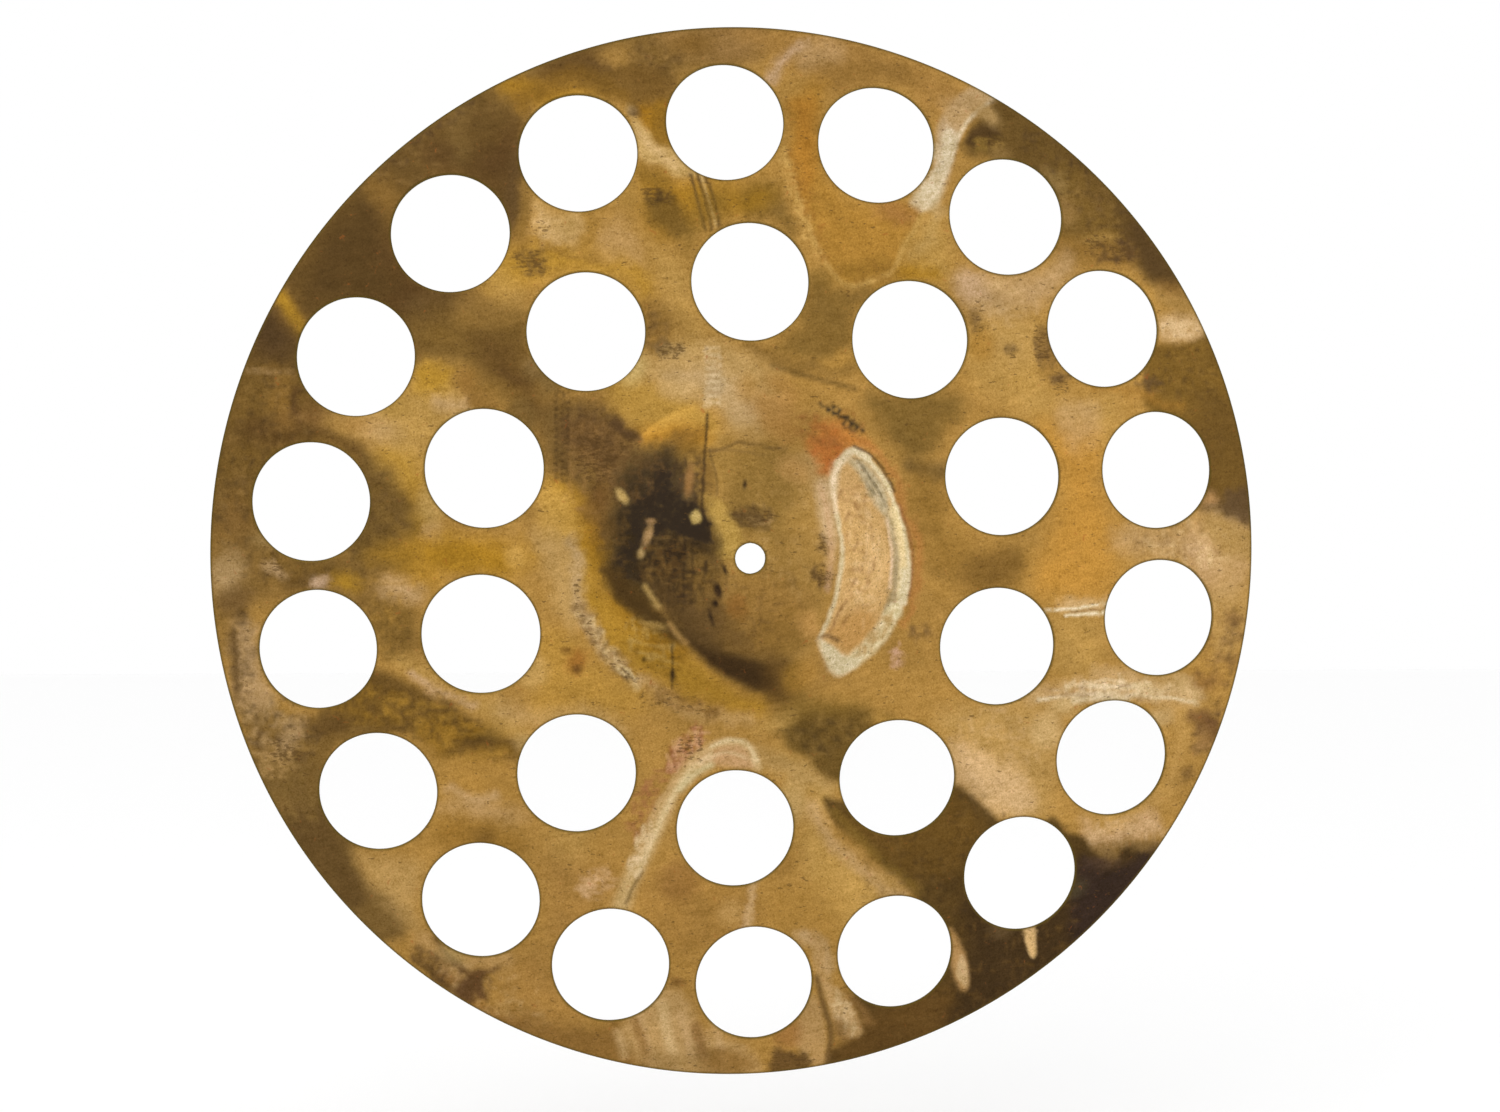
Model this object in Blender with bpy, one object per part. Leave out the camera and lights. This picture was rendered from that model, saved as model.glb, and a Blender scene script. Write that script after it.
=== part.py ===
"""Perforated bronze gong plate: one thin hammered sheet, spun to shape and punched.

A shallow bow rises from the rim to a raised bell. A small hole in the flat crown of the bell takes the
rod or cord the gong hangs on, and two rings of large round holes are punched square to the sheet.

Metres, +Z up. The gong hangs upright: its axis runs along Y and the bell points to -Y. The origin is on
the axis, midway between the crown of the bell and the back of the rim.
"""

from math import cos, hypot, radians, sin, tau

import bmesh
import bpy
from mathutils import Matrix, Vector

MM = 0.001

# Plate outline
RIM_RADIUS = 228.5 * MM
BOW_HEIGHT = 21.5 * MM  # from the rim's front edge to where the bow would meet the axis
BOW_EXPONENT = 2.75  # the bow is nearly flat at the bell and steepest at the rim
BELL_RADIUS = 70.0 * MM  # at the foot, where the bell runs into the bow
BELL_HEIGHT = 20.2 * MM
BELL_FULLNESS = 2.4  # how square-shouldered the bell is
BELL_FLARE = 1.5  # how gently the bell's foot runs out into the bow
CROWN_RADIUS = 14.0 * MM  # flat land round the centre hole, where the felts sit
CENTRE_HOLE_RADIUS = 6.5 * MM
RIM_LAND = 1.2 * MM  # narrow flat at the back of the rim, rubbed level

# Sheet thickness, tapering from the crown to the rim
CROWN_THICKNESS = 1.5 * MM
RIM_THICKNESS = 1.1 * MM

# Punched holes: clock angles in degrees from the top, seen from the bell's side, marked out by hand
PUNCH_RADIUS = 25.4 * MM
OUTER_RING_RADIUS = 187.3 * MM
OUTER_RING_ANGLES = (
    18, 38, 58, 78.5, 98.5, 118.5, 138.5, 158.5, 178,
    197.5, 217, 237, 257.5, 277, 297, 317.5, 337.5, 357.5,
)
INNER_RING_RADIUS = 118.2 * MM
INNER_RING_ANGLES = (1, 37.5, 73, 109.5, 145, 181.5, 217.5, 253.5, 288.5, 324.5)
PUNCH_REACH = 9 * MM  # how far a punch's cutter stands out of each face

# Facets
TURNS = 64
PUNCH_SIDES = 32
BELL_STEPS = 8
BOW_STEPS = 6
SHARP_EDGE = radians(30)
SLOPE_STEP = 0.05 * MM  # half the span over which the sheet's slope is taken
MERGE_DISTANCE = 0.001 * MM

BRONZE_COLOUR = (0.50, 0.33, 0.11, 1.0)
BRONZE_ROUGHNESS = 0.4
BRONZE_METALLIC = 0.7


def sheet_height(radius):
    """How far the sheet's front stands above the rim's front edge, at this distance from the axis."""
    outside_crown = max(radius, CROWN_RADIUS)
    bow = BOW_HEIGHT * (1 - (outside_crown / RIM_RADIUS) ** BOW_EXPONENT)
    up_the_bell = min(1, (outside_crown - CROWN_RADIUS) / (BELL_RADIUS - CROWN_RADIUS))
    bell = BELL_HEIGHT * (1 - up_the_bell**BELL_FULLNESS) ** BELL_FLARE
    return bow + bell


def sheet_slope(radius):
    """Height lost per unit of radius."""
    inner, outer = radius - SLOPE_STEP, min(radius + SLOPE_STEP, RIM_RADIUS)
    return (sheet_height(inner) - sheet_height(outer)) / (outer - inner)


def outward_normal(radius):
    """The front face's unit normal as (away from the axis, towards the front)."""
    slope = sheet_slope(radius)
    length = hypot(slope, 1)
    return slope / length, 1 / length


def thickness(radius):
    share = radius / RIM_RADIUS
    return CROWN_THICKNESS + (RIM_THICKNESS - CROWN_THICKNESS) * share


def spread(start, end, steps):
    """The values from start to end in equal steps, both ends included."""
    return [start + (end - start) * i / steps for i in range(steps + 1)]


BACK_OF_RIM = -RIM_THICKNESS
MID_DEPTH = (sheet_height(0) + BACK_OF_RIM) / 2


def depth_to_y(height):
    """World Y of a height above the rim's front edge."""
    return MID_DEPTH - height


def profile():
    """The sheet's closed half section as (distance from the axis, height), out in front, home behind."""
    radii = [CENTRE_HOLE_RADIUS]
    radii += spread(CROWN_RADIUS, BELL_RADIUS, BELL_STEPS)
    radii += spread(BELL_RADIUS, RIM_RADIUS, BOW_STEPS)[1:]
    front = [(r, sheet_height(r)) for r in radii]
    back = []
    for r in radii[2:-1]:
        out, forward = outward_normal(r)
        back.append((r - out * thickness(r), sheet_height(r) - forward * thickness(r)))
    crown_back = sheet_height(0) - CROWN_THICKNESS
    back = [(CENTRE_HOLE_RADIUS, crown_back), (CROWN_RADIUS, crown_back)] + back
    back += [(RIM_RADIUS - RIM_LAND, BACK_OF_RIM), (RIM_RADIUS, BACK_OF_RIM)]
    return front + back[::-1]


def spin_sheet():
    """The unpunched plate: its half section spun once round the Y axis."""
    bm = bmesh.new()
    corners = [bm.verts.new((r, depth_to_y(height), 0)) for r, height in profile()]
    for here, after in zip(corners, corners[1:] + corners[:1]):
        bm.edges.new((here, after))
    bmesh.ops.spin(
        bm,
        geom=bm.verts[:] + bm.edges[:],
        cent=(0, 0, 0),
        axis=(0, 1, 0),
        angle=tau,
        steps=TURNS,
        use_merge=True,
    )
    bmesh.ops.remove_doubles(bm, verts=bm.verts, dist=MERGE_DISTANCE)
    bmesh.ops.recalc_face_normals(bm, faces=bm.faces)
    mesh = bpy.data.meshes.new("gong_plate")
    bm.to_mesh(mesh)
    bm.free()
    return mesh


def punch_matrix(ring_radius, clock_angle):
    """Places a punch on the sheet with its own Z along the sheet's outward normal."""
    angle = radians(clock_angle)
    outward = Vector((sin(angle), 0, cos(angle)))
    out, forward = outward_normal(ring_radius)
    normal = (outward * out + Vector((0, -forward, 0))).normalized()
    place = outward * ring_radius + Vector((0, depth_to_y(sheet_height(ring_radius)), 0))
    along_ring = normal.cross(outward).normalized()
    across = along_ring.cross(normal)
    turn = Matrix((across, along_ring, normal)).transposed().to_4x4()
    return Matrix.Translation(place) @ turn


def punch_cutters():
    """One mesh holding a cylinder for each punched hole."""
    bm = bmesh.new()
    rings = ((OUTER_RING_RADIUS, OUTER_RING_ANGLES), (INNER_RING_RADIUS, INNER_RING_ANGLES))
    for ring_radius, clock_angles in rings:
        for clock_angle in clock_angles:
            bmesh.ops.create_cone(
                bm,
                cap_ends=True,
                segments=PUNCH_SIDES,
                radius1=PUNCH_RADIUS,
                radius2=PUNCH_RADIUS,
                depth=2 * PUNCH_REACH,
                matrix=punch_matrix(ring_radius, clock_angle),
            )
    mesh = bpy.data.meshes.new("punches")
    bm.to_mesh(mesh)
    bm.free()
    return mesh


def bronze():
    material = bpy.data.materials.new("aged_bronze")
    material.use_nodes = True
    shader = material.node_tree.nodes["Principled BSDF"]
    shader.inputs["Base Color"].default_value = BRONZE_COLOUR
    shader.inputs["Roughness"].default_value = BRONZE_ROUGHNESS
    shader.inputs["Metallic"].default_value = BRONZE_METALLIC
    return material


def place(name, mesh):
    obj = bpy.data.objects.new(name, mesh)
    bpy.context.scene.collection.objects.link(obj)
    return obj


def build():
    for obj in list(bpy.data.objects):
        bpy.data.objects.remove(obj)

    punches = place("punches", punch_cutters())
    punches.hide_render = True
    punches.display_type = "WIRE"

    plate = place("gong_plate", spin_sheet())
    plate.data.materials.append(bronze())
    punch = plate.modifiers.new("punched_holes", "BOOLEAN")
    punch.operation = "DIFFERENCE"
    punch.solver = "EXACT"
    punch.object = punches

    plate.data.shade_smooth()
    plate.data.set_sharp_from_angle(angle=SHARP_EDGE)


build()
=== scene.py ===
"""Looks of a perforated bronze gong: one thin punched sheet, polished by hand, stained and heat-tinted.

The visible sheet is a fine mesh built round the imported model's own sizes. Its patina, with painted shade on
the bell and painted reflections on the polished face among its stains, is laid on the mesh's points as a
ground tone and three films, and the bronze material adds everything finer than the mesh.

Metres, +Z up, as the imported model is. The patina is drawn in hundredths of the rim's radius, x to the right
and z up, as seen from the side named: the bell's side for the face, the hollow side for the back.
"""

from math import cos, radians, sin, sqrt, tau
from typing import NamedTuple

import bmesh
import bpy
import numpy as np
from mathutils import Matrix, Vector
from mathutils.geometry import delaunay_2d_cdt


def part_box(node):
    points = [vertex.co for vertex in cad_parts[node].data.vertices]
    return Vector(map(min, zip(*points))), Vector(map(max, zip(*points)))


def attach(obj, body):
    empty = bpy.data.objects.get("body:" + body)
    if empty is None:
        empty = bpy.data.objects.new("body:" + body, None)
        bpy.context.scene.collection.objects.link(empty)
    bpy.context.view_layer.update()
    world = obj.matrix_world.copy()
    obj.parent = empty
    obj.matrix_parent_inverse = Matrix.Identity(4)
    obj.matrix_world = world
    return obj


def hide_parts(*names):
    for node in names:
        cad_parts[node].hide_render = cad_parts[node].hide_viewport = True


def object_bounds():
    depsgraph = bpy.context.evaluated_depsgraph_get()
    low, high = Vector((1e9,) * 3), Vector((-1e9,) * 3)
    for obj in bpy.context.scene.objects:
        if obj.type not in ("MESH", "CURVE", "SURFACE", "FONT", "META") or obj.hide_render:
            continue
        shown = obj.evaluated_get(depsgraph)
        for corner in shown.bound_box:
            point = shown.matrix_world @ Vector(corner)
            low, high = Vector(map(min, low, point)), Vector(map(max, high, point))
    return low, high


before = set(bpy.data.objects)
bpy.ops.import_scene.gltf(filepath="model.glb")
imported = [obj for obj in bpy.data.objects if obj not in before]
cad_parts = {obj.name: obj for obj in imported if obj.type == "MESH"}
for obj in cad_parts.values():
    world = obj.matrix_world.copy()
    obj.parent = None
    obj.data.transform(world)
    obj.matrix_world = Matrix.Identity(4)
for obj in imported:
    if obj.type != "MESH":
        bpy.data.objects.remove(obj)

CAD_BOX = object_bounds()
MM = 0.001

# The sheet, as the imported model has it
PLATE = "gong_plate"
LOWEST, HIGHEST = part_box(PLATE)
RIM_RADIUS = (HIGHEST[0] - LOWEST[0]) / 2
BACK_OF_RIM = HIGHEST[1]
BOW_HEIGHT = 21.5 * MM
BOW_EXPONENT = 2.75
BELL_RADIUS = 70.0 * MM
BELL_HEIGHT = 20.2 * MM
BELL_FULLNESS = 2.4
BELL_FLARE = 1.5
CROWN_RADIUS = 14.0 * MM
CROWN_THICKNESS = 1.5 * MM
RIM_THICKNESS = 1.1 * MM
RIM_LAND = 1.2 * MM
FRONT_OF_RIM = BACK_OF_RIM - RIM_THICKNESS

# How finely the visible mesh is laid out
FACE_SPACING = 1.7 * MM
FINE_SPACING = 0.85 * MM
BACK_SPACING = 3.5 * MM
FINE_OVALS = (  # where the face has crisp marks: centre and half sizes in hundredths of the rim's radius
    (23, -1, 11, 24),
    (-12, 0, 18, 28),
    (-12, -48, 14, 21),
    (72, -20, 20, 12),
    (72, -56, 16, 10),
    (44, -77, 6, 9),
    (16, -88, 8, 12),
    (57, -76, 5, 6),
    (21, 62, 15, 14),
    (-8, 66, 3.5, 7),
    (42, 77, 11, 12),
    (87, 40, 9, 10),
)
EDGE_ROUNDING = 0.3 * MM
EDGE_ROWS = (EDGE_ROUNDING, 1.2 * MM, 2.5 * MM)  # how far rows of points stand off each cut edge
EDGE_STEP = 1.7 * MM
GRID_JITTER = 0.08  # how far grid points stray, in spacings
EDGE_TINT = 0.8  # how much of the cut edges' tone reaches the row of points beside them
SLOPE_STEP = 0.05 * MM
WALL_TILT = 0.5  # a packed face leaning further than this from the sheet is the wall of a cut

# Hand work in the sheet
LUMPS = ((0.22 * MM, 46 * MM, 3), (0.05 * MM, 13 * MM, 4))  # depth, size, seed
LUMP_FADE = 24 * MM  # lumps die out towards the rim and the crown, whose places are exact
CUT_WANDER = 0.12 * MM  # how far a hand-cut hole's edge strays from a true circle


# ---- Shape ----------------------------------------------------------------------------------------------


class Cut(NamedTuple):
    """A round hole: a point on its axis, the axis pointing out of the face, and the radius."""

    centre: Vector
    axis: Vector
    radius: float


def sheet_height(radius):
    """How far the face stands above the rim's front edge, at this distance from the gong's axis."""
    outside_crown = np.maximum(radius, CROWN_RADIUS)
    bow = BOW_HEIGHT * (1 - (outside_crown / RIM_RADIUS) ** BOW_EXPONENT)
    up_the_bell = np.clip((outside_crown - CROWN_RADIUS) / (BELL_RADIUS - CROWN_RADIUS), 0, 1)
    return bow + BELL_HEIGHT * (1 - up_the_bell**BELL_FULLNESS) ** BELL_FLARE


def thickness(radius):
    return CROWN_THICKNESS + (RIM_THICKNESS - CROWN_THICKNESS) * radius / RIM_RADIUS


def face_points(x, z):
    """Points on the face at these plan positions."""
    return np.column_stack([x, FRONT_OF_RIM - sheet_height(np.hypot(x, z)), z])


def face_normals(x, z):
    radius = np.maximum(np.hypot(x, z), SLOPE_STEP)
    fall = sheet_height(radius - SLOPE_STEP) - sheet_height(np.minimum(radius + SLOPE_STEP, RIM_RADIUS))
    slope = fall / (2 * SLOPE_STEP)
    normals = np.column_stack([x / radius * slope, -np.ones_like(radius), z / radius * slope])
    return normals / np.linalg.norm(normals, axis=1)[:, None]


def walls_of_cuts():
    """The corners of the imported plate's walls, in a sorted group for each hole and one for the rim."""
    bm = bmesh.new()
    bm.from_mesh(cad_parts[PLATE].data)
    bmesh.ops.remove_doubles(bm, verts=bm.verts, dist=0.01 * MM)
    walls = set()
    for face in bm.faces:
        middle = face.calc_center_median()
        sheet = face_normals(np.array([middle.x]), np.array([middle.z]))[0]
        if abs(face.normal.dot(Vector(sheet))) < WALL_TILT:
            walls.add(face)
    groups = []
    while walls:
        waiting = [walls.pop()]
        group = []
        while waiting:
            face = waiting.pop()
            group.append(face)
            linked = {other for edge in face.edges for other in edge.link_faces} & walls
            walls -= linked
            waiting += linked
        corners = {corner.co.to_tuple() for face in group for corner in face.verts}
        groups.append([Vector(corner) for corner in sorted(corners)])
    bm.free()
    return groups


def sheet_at(x, z):
    """The face's point and outward normal at one plan position."""
    place = np.array([x]), np.array([z])
    return Vector(face_points(*place)[0]), Vector(face_normals(*place)[0])


def round_cut(corners):
    """The hole whose wall has these corners, by fitting a circle to them as seen along the hole's axis."""
    middle = sum(corners, Vector()) / len(corners)
    axis = sheet_at(middle.x, middle.z)[1]
    across = axis.orthogonal().normalized()
    along = axis.cross(across)
    u = np.array([(corner - middle).dot(across) for corner in corners])
    v = np.array([(corner - middle).dot(along) for corner in corners])
    terms = np.column_stack([2 * u, 2 * v, np.ones_like(u)])
    off_u, off_v, _ = np.linalg.lstsq(terms, u * u + v * v, rcond=None)[0]
    middle = middle + across * off_u + along * off_v
    centre, axis = sheet_at(middle.x, middle.z)
    return Cut(centre, axis, float(np.hypot(u - off_u, v - off_v).max()))


def find_cuts():
    """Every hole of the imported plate, in a fixed order."""
    cuts = [round_cut(corners) for corners in walls_of_cuts()]
    holes = [cut for cut in cuts if cut.radius < RIM_RADIUS / 2]
    return sorted(holes, key=lambda cut: (round(cut.centre.z, 4), round(cut.centre.x, 4)))


# ---- Noise ----------------------------------------------------------------------------------------------


def smooth(start, end, value):
    """From 0 at start to 1 at end, with a gentle start and end."""
    share = np.clip((value - start) / (end - start), 0, 1)
    return share * share * (3 - 2 * share)


def lattice_noise(x, z, cell, seed):
    """Smooth noise from -1 to 1, its lumps about one cell across."""
    side = 64
    table = np.random.default_rng(seed).uniform(-1, 1, (side, side))
    u, v = x / cell, z / cell
    column, row = np.floor(u).astype(int), np.floor(v).astype(int)
    s, t = smooth(0, 1, u - column), smooth(0, 1, v - row)
    left, right = column % side, (column + 1) % side
    low, high = row % side, (row + 1) % side
    bottom = table[left, low] * (1 - s) + table[right, low] * s
    top = table[left, high] * (1 - s) + table[right, high] * s
    return bottom * (1 - t) + top * t


def cloud(x, z, cell, seed, octaves=4):
    """Noise from about -1 to 1 with ever finer lumps inside the cell-sized ones."""
    total, weight = 0, 0
    for octave in range(octaves):
        share = 0.5**octave
        total = total + share * lattice_noise(x, z, cell * share, seed + octave)
        weight += share
    return total / weight


# ---- Mesh -----------------------------------------------------------------------------------------------


def loop_angles(radius, row):
    """Equal steps round a cut, each row of points staggered against the one before."""
    steps = round(tau * radius / EDGE_STEP)
    return (np.arange(steps) + row % 2 / 2) * tau / steps


def row_round_cut(cut, stand_off, row):
    """Plan positions of a row of points on the face round a hole, anticlockwise from the bell's side."""
    angles = loop_angles(cut.radius, row)
    wander = CUT_WANDER * cloud(np.cos(angles) + 40 * cut.centre.x / RIM_RADIUS, np.sin(angles), 0.5, 7, 2)
    reach = (cut.radius + wander + stand_off)[:, None]
    across = Vector((1, 0, 0))
    across = (across - across.dot(cut.axis) * cut.axis).normalized()
    along = cut.axis.cross(across)
    flat = np.array(cut.centre) + reach * (
        np.cos(angles)[:, None] * np.array(across) + np.sin(angles)[:, None] * np.array(along)
    )
    for _ in range(8):  # slides the points along the hole's axis until they lie on the face
        gap = flat[:, 1] - face_points(flat[:, 0], flat[:, 2])[:, 1]
        flat -= (gap / cut.axis.y)[:, None] * np.array(cut.axis)
    return flat[:, [0, 2]]


def row_at_rim(stand_off, row):
    """Plan positions of a row of points just inside the rim."""
    angles = loop_angles(RIM_RADIUS, row)
    reach = RIM_RADIUS - stand_off
    return np.column_stack([np.cos(angles), np.sin(angles)]) * reach


def distance_to_cuts(plan, cuts):
    """How far each plan position is from the nearest cut edge."""
    nearest = RIM_RADIUS - np.hypot(plan[:, 0], plan[:, 1])
    points = face_points(plan[:, 0], plan[:, 1])
    for cut in cuts:
        offset = points - np.array(cut.centre)
        offset -= np.outer(offset @ np.array(cut.axis), np.array(cut.axis))
        nearest = np.minimum(nearest, np.linalg.norm(offset, axis=1) - cut.radius)
    return nearest


def hexagonal_grid(spacing):
    """Plan positions over the whole plate, in staggered rows, each a little out of true."""
    across = np.arange(-RIM_RADIUS, RIM_RADIUS, spacing)
    up = np.arange(-RIM_RADIUS, RIM_RADIUS, spacing * sqrt(3) / 2)
    x, z = np.meshgrid(across, up)
    x[::2] += spacing / 2
    plan = np.column_stack([x.ravel(), z.ravel()])
    return plan + np.random.default_rng(5).uniform(-GRID_JITTER, GRID_JITTER, plan.shape) * spacing


def in_fine_ovals(plan):
    x, z = plan.T / RIM_RADIUS * 100
    inside = np.zeros(len(plan), bool)
    for middle_x, middle_z, half_width, half_height in FINE_OVALS:
        inside |= np.hypot((x - middle_x) / half_width, (z - middle_z) / half_height) < 1
    return inside


def face_grid():
    """The face's grid: fine in the ovals with crisp marks, coarser elsewhere."""
    coarse, fine = hexagonal_grid(FACE_SPACING), hexagonal_grid(FINE_SPACING)
    return np.concatenate([coarse[~in_fine_ovals(coarse)], fine[in_fine_ovals(fine)]])


def lay_out(cuts, grid, clearance):
    """Plan positions and triangles of one side of the sheet, from a grid thinned out near the cuts.

    The points of each cut's first row come first, cut by cut, and the rim's after them; sizes tells how many
    each has.
    """
    first_rows = [row_round_cut(cut, EDGE_ROWS[0], 0) for cut in cuts] + [row_at_rim(EDGE_ROWS[0], 0)]
    sizes = [len(row) for row in first_rows]
    rows = list(first_rows)
    for number, stand_off in enumerate(EDGE_ROWS[1:], 1):
        rows += [row_round_cut(cut, stand_off, number) for cut in cuts] + [row_at_rim(stand_off, number)]
    rows.append(grid[distance_to_cuts(grid, cuts) > EDGE_ROWS[-1] + clearance])
    plan = np.concatenate(rows)
    found = delaunay_2d_cdt([Vector(point / MM) for point in plan], [], [], 0, 1e-7, True)
    place_of = np.array([origins[0] for origins in found[3]])
    triangles = place_of[np.array(found[2])]
    owner = np.full(len(plan), -1)
    owner[: sum(sizes[:-1])] = np.repeat(np.arange(len(cuts)), sizes[:-1])
    owners = owner[triangles]
    in_a_hole = (owners[:, 0] >= 0) & (owners == owners[:, :1]).all(axis=1)
    return plan, triangles[~in_a_hole], sizes


def lumps(x, z):
    """How far hammering leaves the sheet out of true, towards the face."""
    radius = np.hypot(x, z)
    fade = smooth(RIM_RADIUS, RIM_RADIUS - LUMP_FADE, radius) * smooth(CROWN_RADIUS, BELL_RADIUS, radius)
    return fade * sum(depth * cloud(x, z, size, seed, 2) for depth, size, seed in LUMPS)


def back_points(plan, cuts, sizes):
    """The sheet's back under these plan positions of the face."""
    x, z = plan.T
    normals = face_normals(x, z)
    through = [np.repeat([cut.axis], size, axis=0) for cut, size in zip(cuts, sizes)]
    inner_rows = sum(sizes[:-1])
    normals[:inner_rows] = np.concatenate(through)
    points = face_points(x, z) - normals * thickness(np.hypot(x, z))[:, None]
    on_land = np.hypot(x, z) > RIM_RADIUS - RIM_LAND * 1.01
    points[on_land, 1] = BACK_OF_RIM
    points[on_land, 0], points[on_land, 2] = x[on_land], z[on_land]
    return points


def wall_rows(face, back, cuts, sizes):
    """The two rows of points on each cut's wall, just under the face and just above the back."""
    upper, lower = [], []
    start = 0
    for cut, size in zip([*cuts, None], sizes):
        top, bottom = face[start : start + size], back[start : start + size]
        down = (bottom - top) / np.linalg.norm(bottom - top, axis=1)[:, None]
        if cut:
            inward = np.array(cut.centre) - top
            inward -= np.outer(inward @ np.array(cut.axis), np.array(cut.axis))
        else:
            inward = top * (1, 0, 1)
        inward *= EDGE_ROUNDING / np.linalg.norm(inward, axis=1)[:, None]
        upper.append(top + inward + down * EDGE_ROUNDING)
        lower.append(bottom + inward - down * EDGE_ROUNDING)
        start += size
    return np.concatenate(upper), np.concatenate(lower)


def wall_faces(rows, sizes):
    """Quads that join the rows of points down each cut's wall; a row is the number of its first point."""
    quads = []
    start = 0
    for cut, size in enumerate(sizes):
        here = start + np.arange(size)
        after = start + (np.arange(size) + 1) % size
        if cut == len(sizes) - 1:
            here, after = after, here
        for above, below in zip(rows, rows[1:]):
            quads.append(np.column_stack([above + here, above + after, below + after, below + here]))
        start += size
    return np.concatenate(quads)


class Sheet(NamedTuple):
    """Points and faces of the whole sheet, which points are the back's, and each one's share of edge tone."""

    points: np.ndarray
    faces: list
    on_back: np.ndarray
    edge: np.ndarray


def build_sheet(cuts):
    """The face, the back and the walls of the cuts, joined along the rows of points at their edges."""
    face_plan, face_triangles, sizes = lay_out(cuts, face_grid(), FACE_SPACING / 2)
    back_plan, back_triangles, _ = lay_out(cuts, hexagonal_grid(BACK_SPACING), BACK_SPACING / 2)
    face = face_points(*face_plan.T)
    back = back_points(back_plan, cuts, sizes)
    upper, lower = wall_rows(face, back, cuts, sizes)
    points = np.concatenate([face, back, upper, lower])
    points[:, 1] -= lumps(points[:, 0], points[:, 2])
    first_back = len(face)
    first_upper = first_back + len(back)
    first_lower = first_upper + len(upper)
    walls = wall_faces((0, first_upper, first_lower, first_back), sizes)
    back_triangles = back_triangles[:, ::-1] + first_back
    faces = face_triangles.tolist() + back_triangles.tolist() + walls.tolist()
    edge = np.zeros(len(points))
    edge[first_upper:] = 1
    edge[: sum(sizes)] = edge[first_back : first_back + sum(sizes)] = EDGE_TINT
    on_back = np.zeros(len(points), bool)
    on_back[first_back:first_upper] = True
    on_back[first_lower:] = True
    return Sheet(points, faces, on_back, edge)


# ---- Patina ---------------------------------------------------------------------------------------------

# Tones of the polished and stained face, as display RGB out of 255
TAN = (168, 128, 64)
UMBER = (96, 69, 32)
DEEP = (84, 58, 28)
OLIVE = (122, 92, 42)
BROWN = (140, 104, 48)
GOLD = (172, 130, 38)
AMBER = (160, 117, 26)
STRAW = (180, 142, 76)
# HAZE and PINK stand for painted sheen: the pale satin reflections of the lamps on the polished face
HAZE = (184, 150, 104)
PINK = (190, 157, 122)

# the second film darkens: soot on the back, and soot with painted shade on the bell's left shoulder
FILMS = ("umber", "soot_and_shade", "speck")

# The softness of an edge, and a stroke's size, are in hundredths of the rim's radius like its place
HATCH_SOFTNESS = 0.35
TOUCH_SOFTNESS = 1.4
TOUCH_STRENGTH = 0.7


def linear(rgb):
    """A display colour out of 255 as linear light."""
    share = np.array(rgb, float) / 255
    return np.where(share <= 0.04045, share / 12.92, ((share + 0.055) / 1.055) ** 2.4)


def curve(points, closed, steps=5):
    """A smooth curve through the points."""
    points = np.array(points, float)
    if len(points) < 3:
        return points
    if closed:
        control = np.concatenate([points[-1:], points, points[:2]])
    else:
        control = np.concatenate([2 * points[:1] - points[1:2], points, 2 * points[-1:] - points[-2:-1]])
    t = np.linspace(0, 1, steps, endpoint=False)[:, None]
    spans = []
    for before, start, end, after in zip(control, control[1:], control[2:], control[3:]):
        bend = 2 * before - 5 * start + 4 * end - after
        sway = 3 * start - before - 3 * end + after
        spans.append(start + 0.5 * ((end - before) * t + bend * t**2 + sway * t**3))
    if not closed:
        spans.append(points[-1:])
    return np.concatenate(spans)


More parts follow.
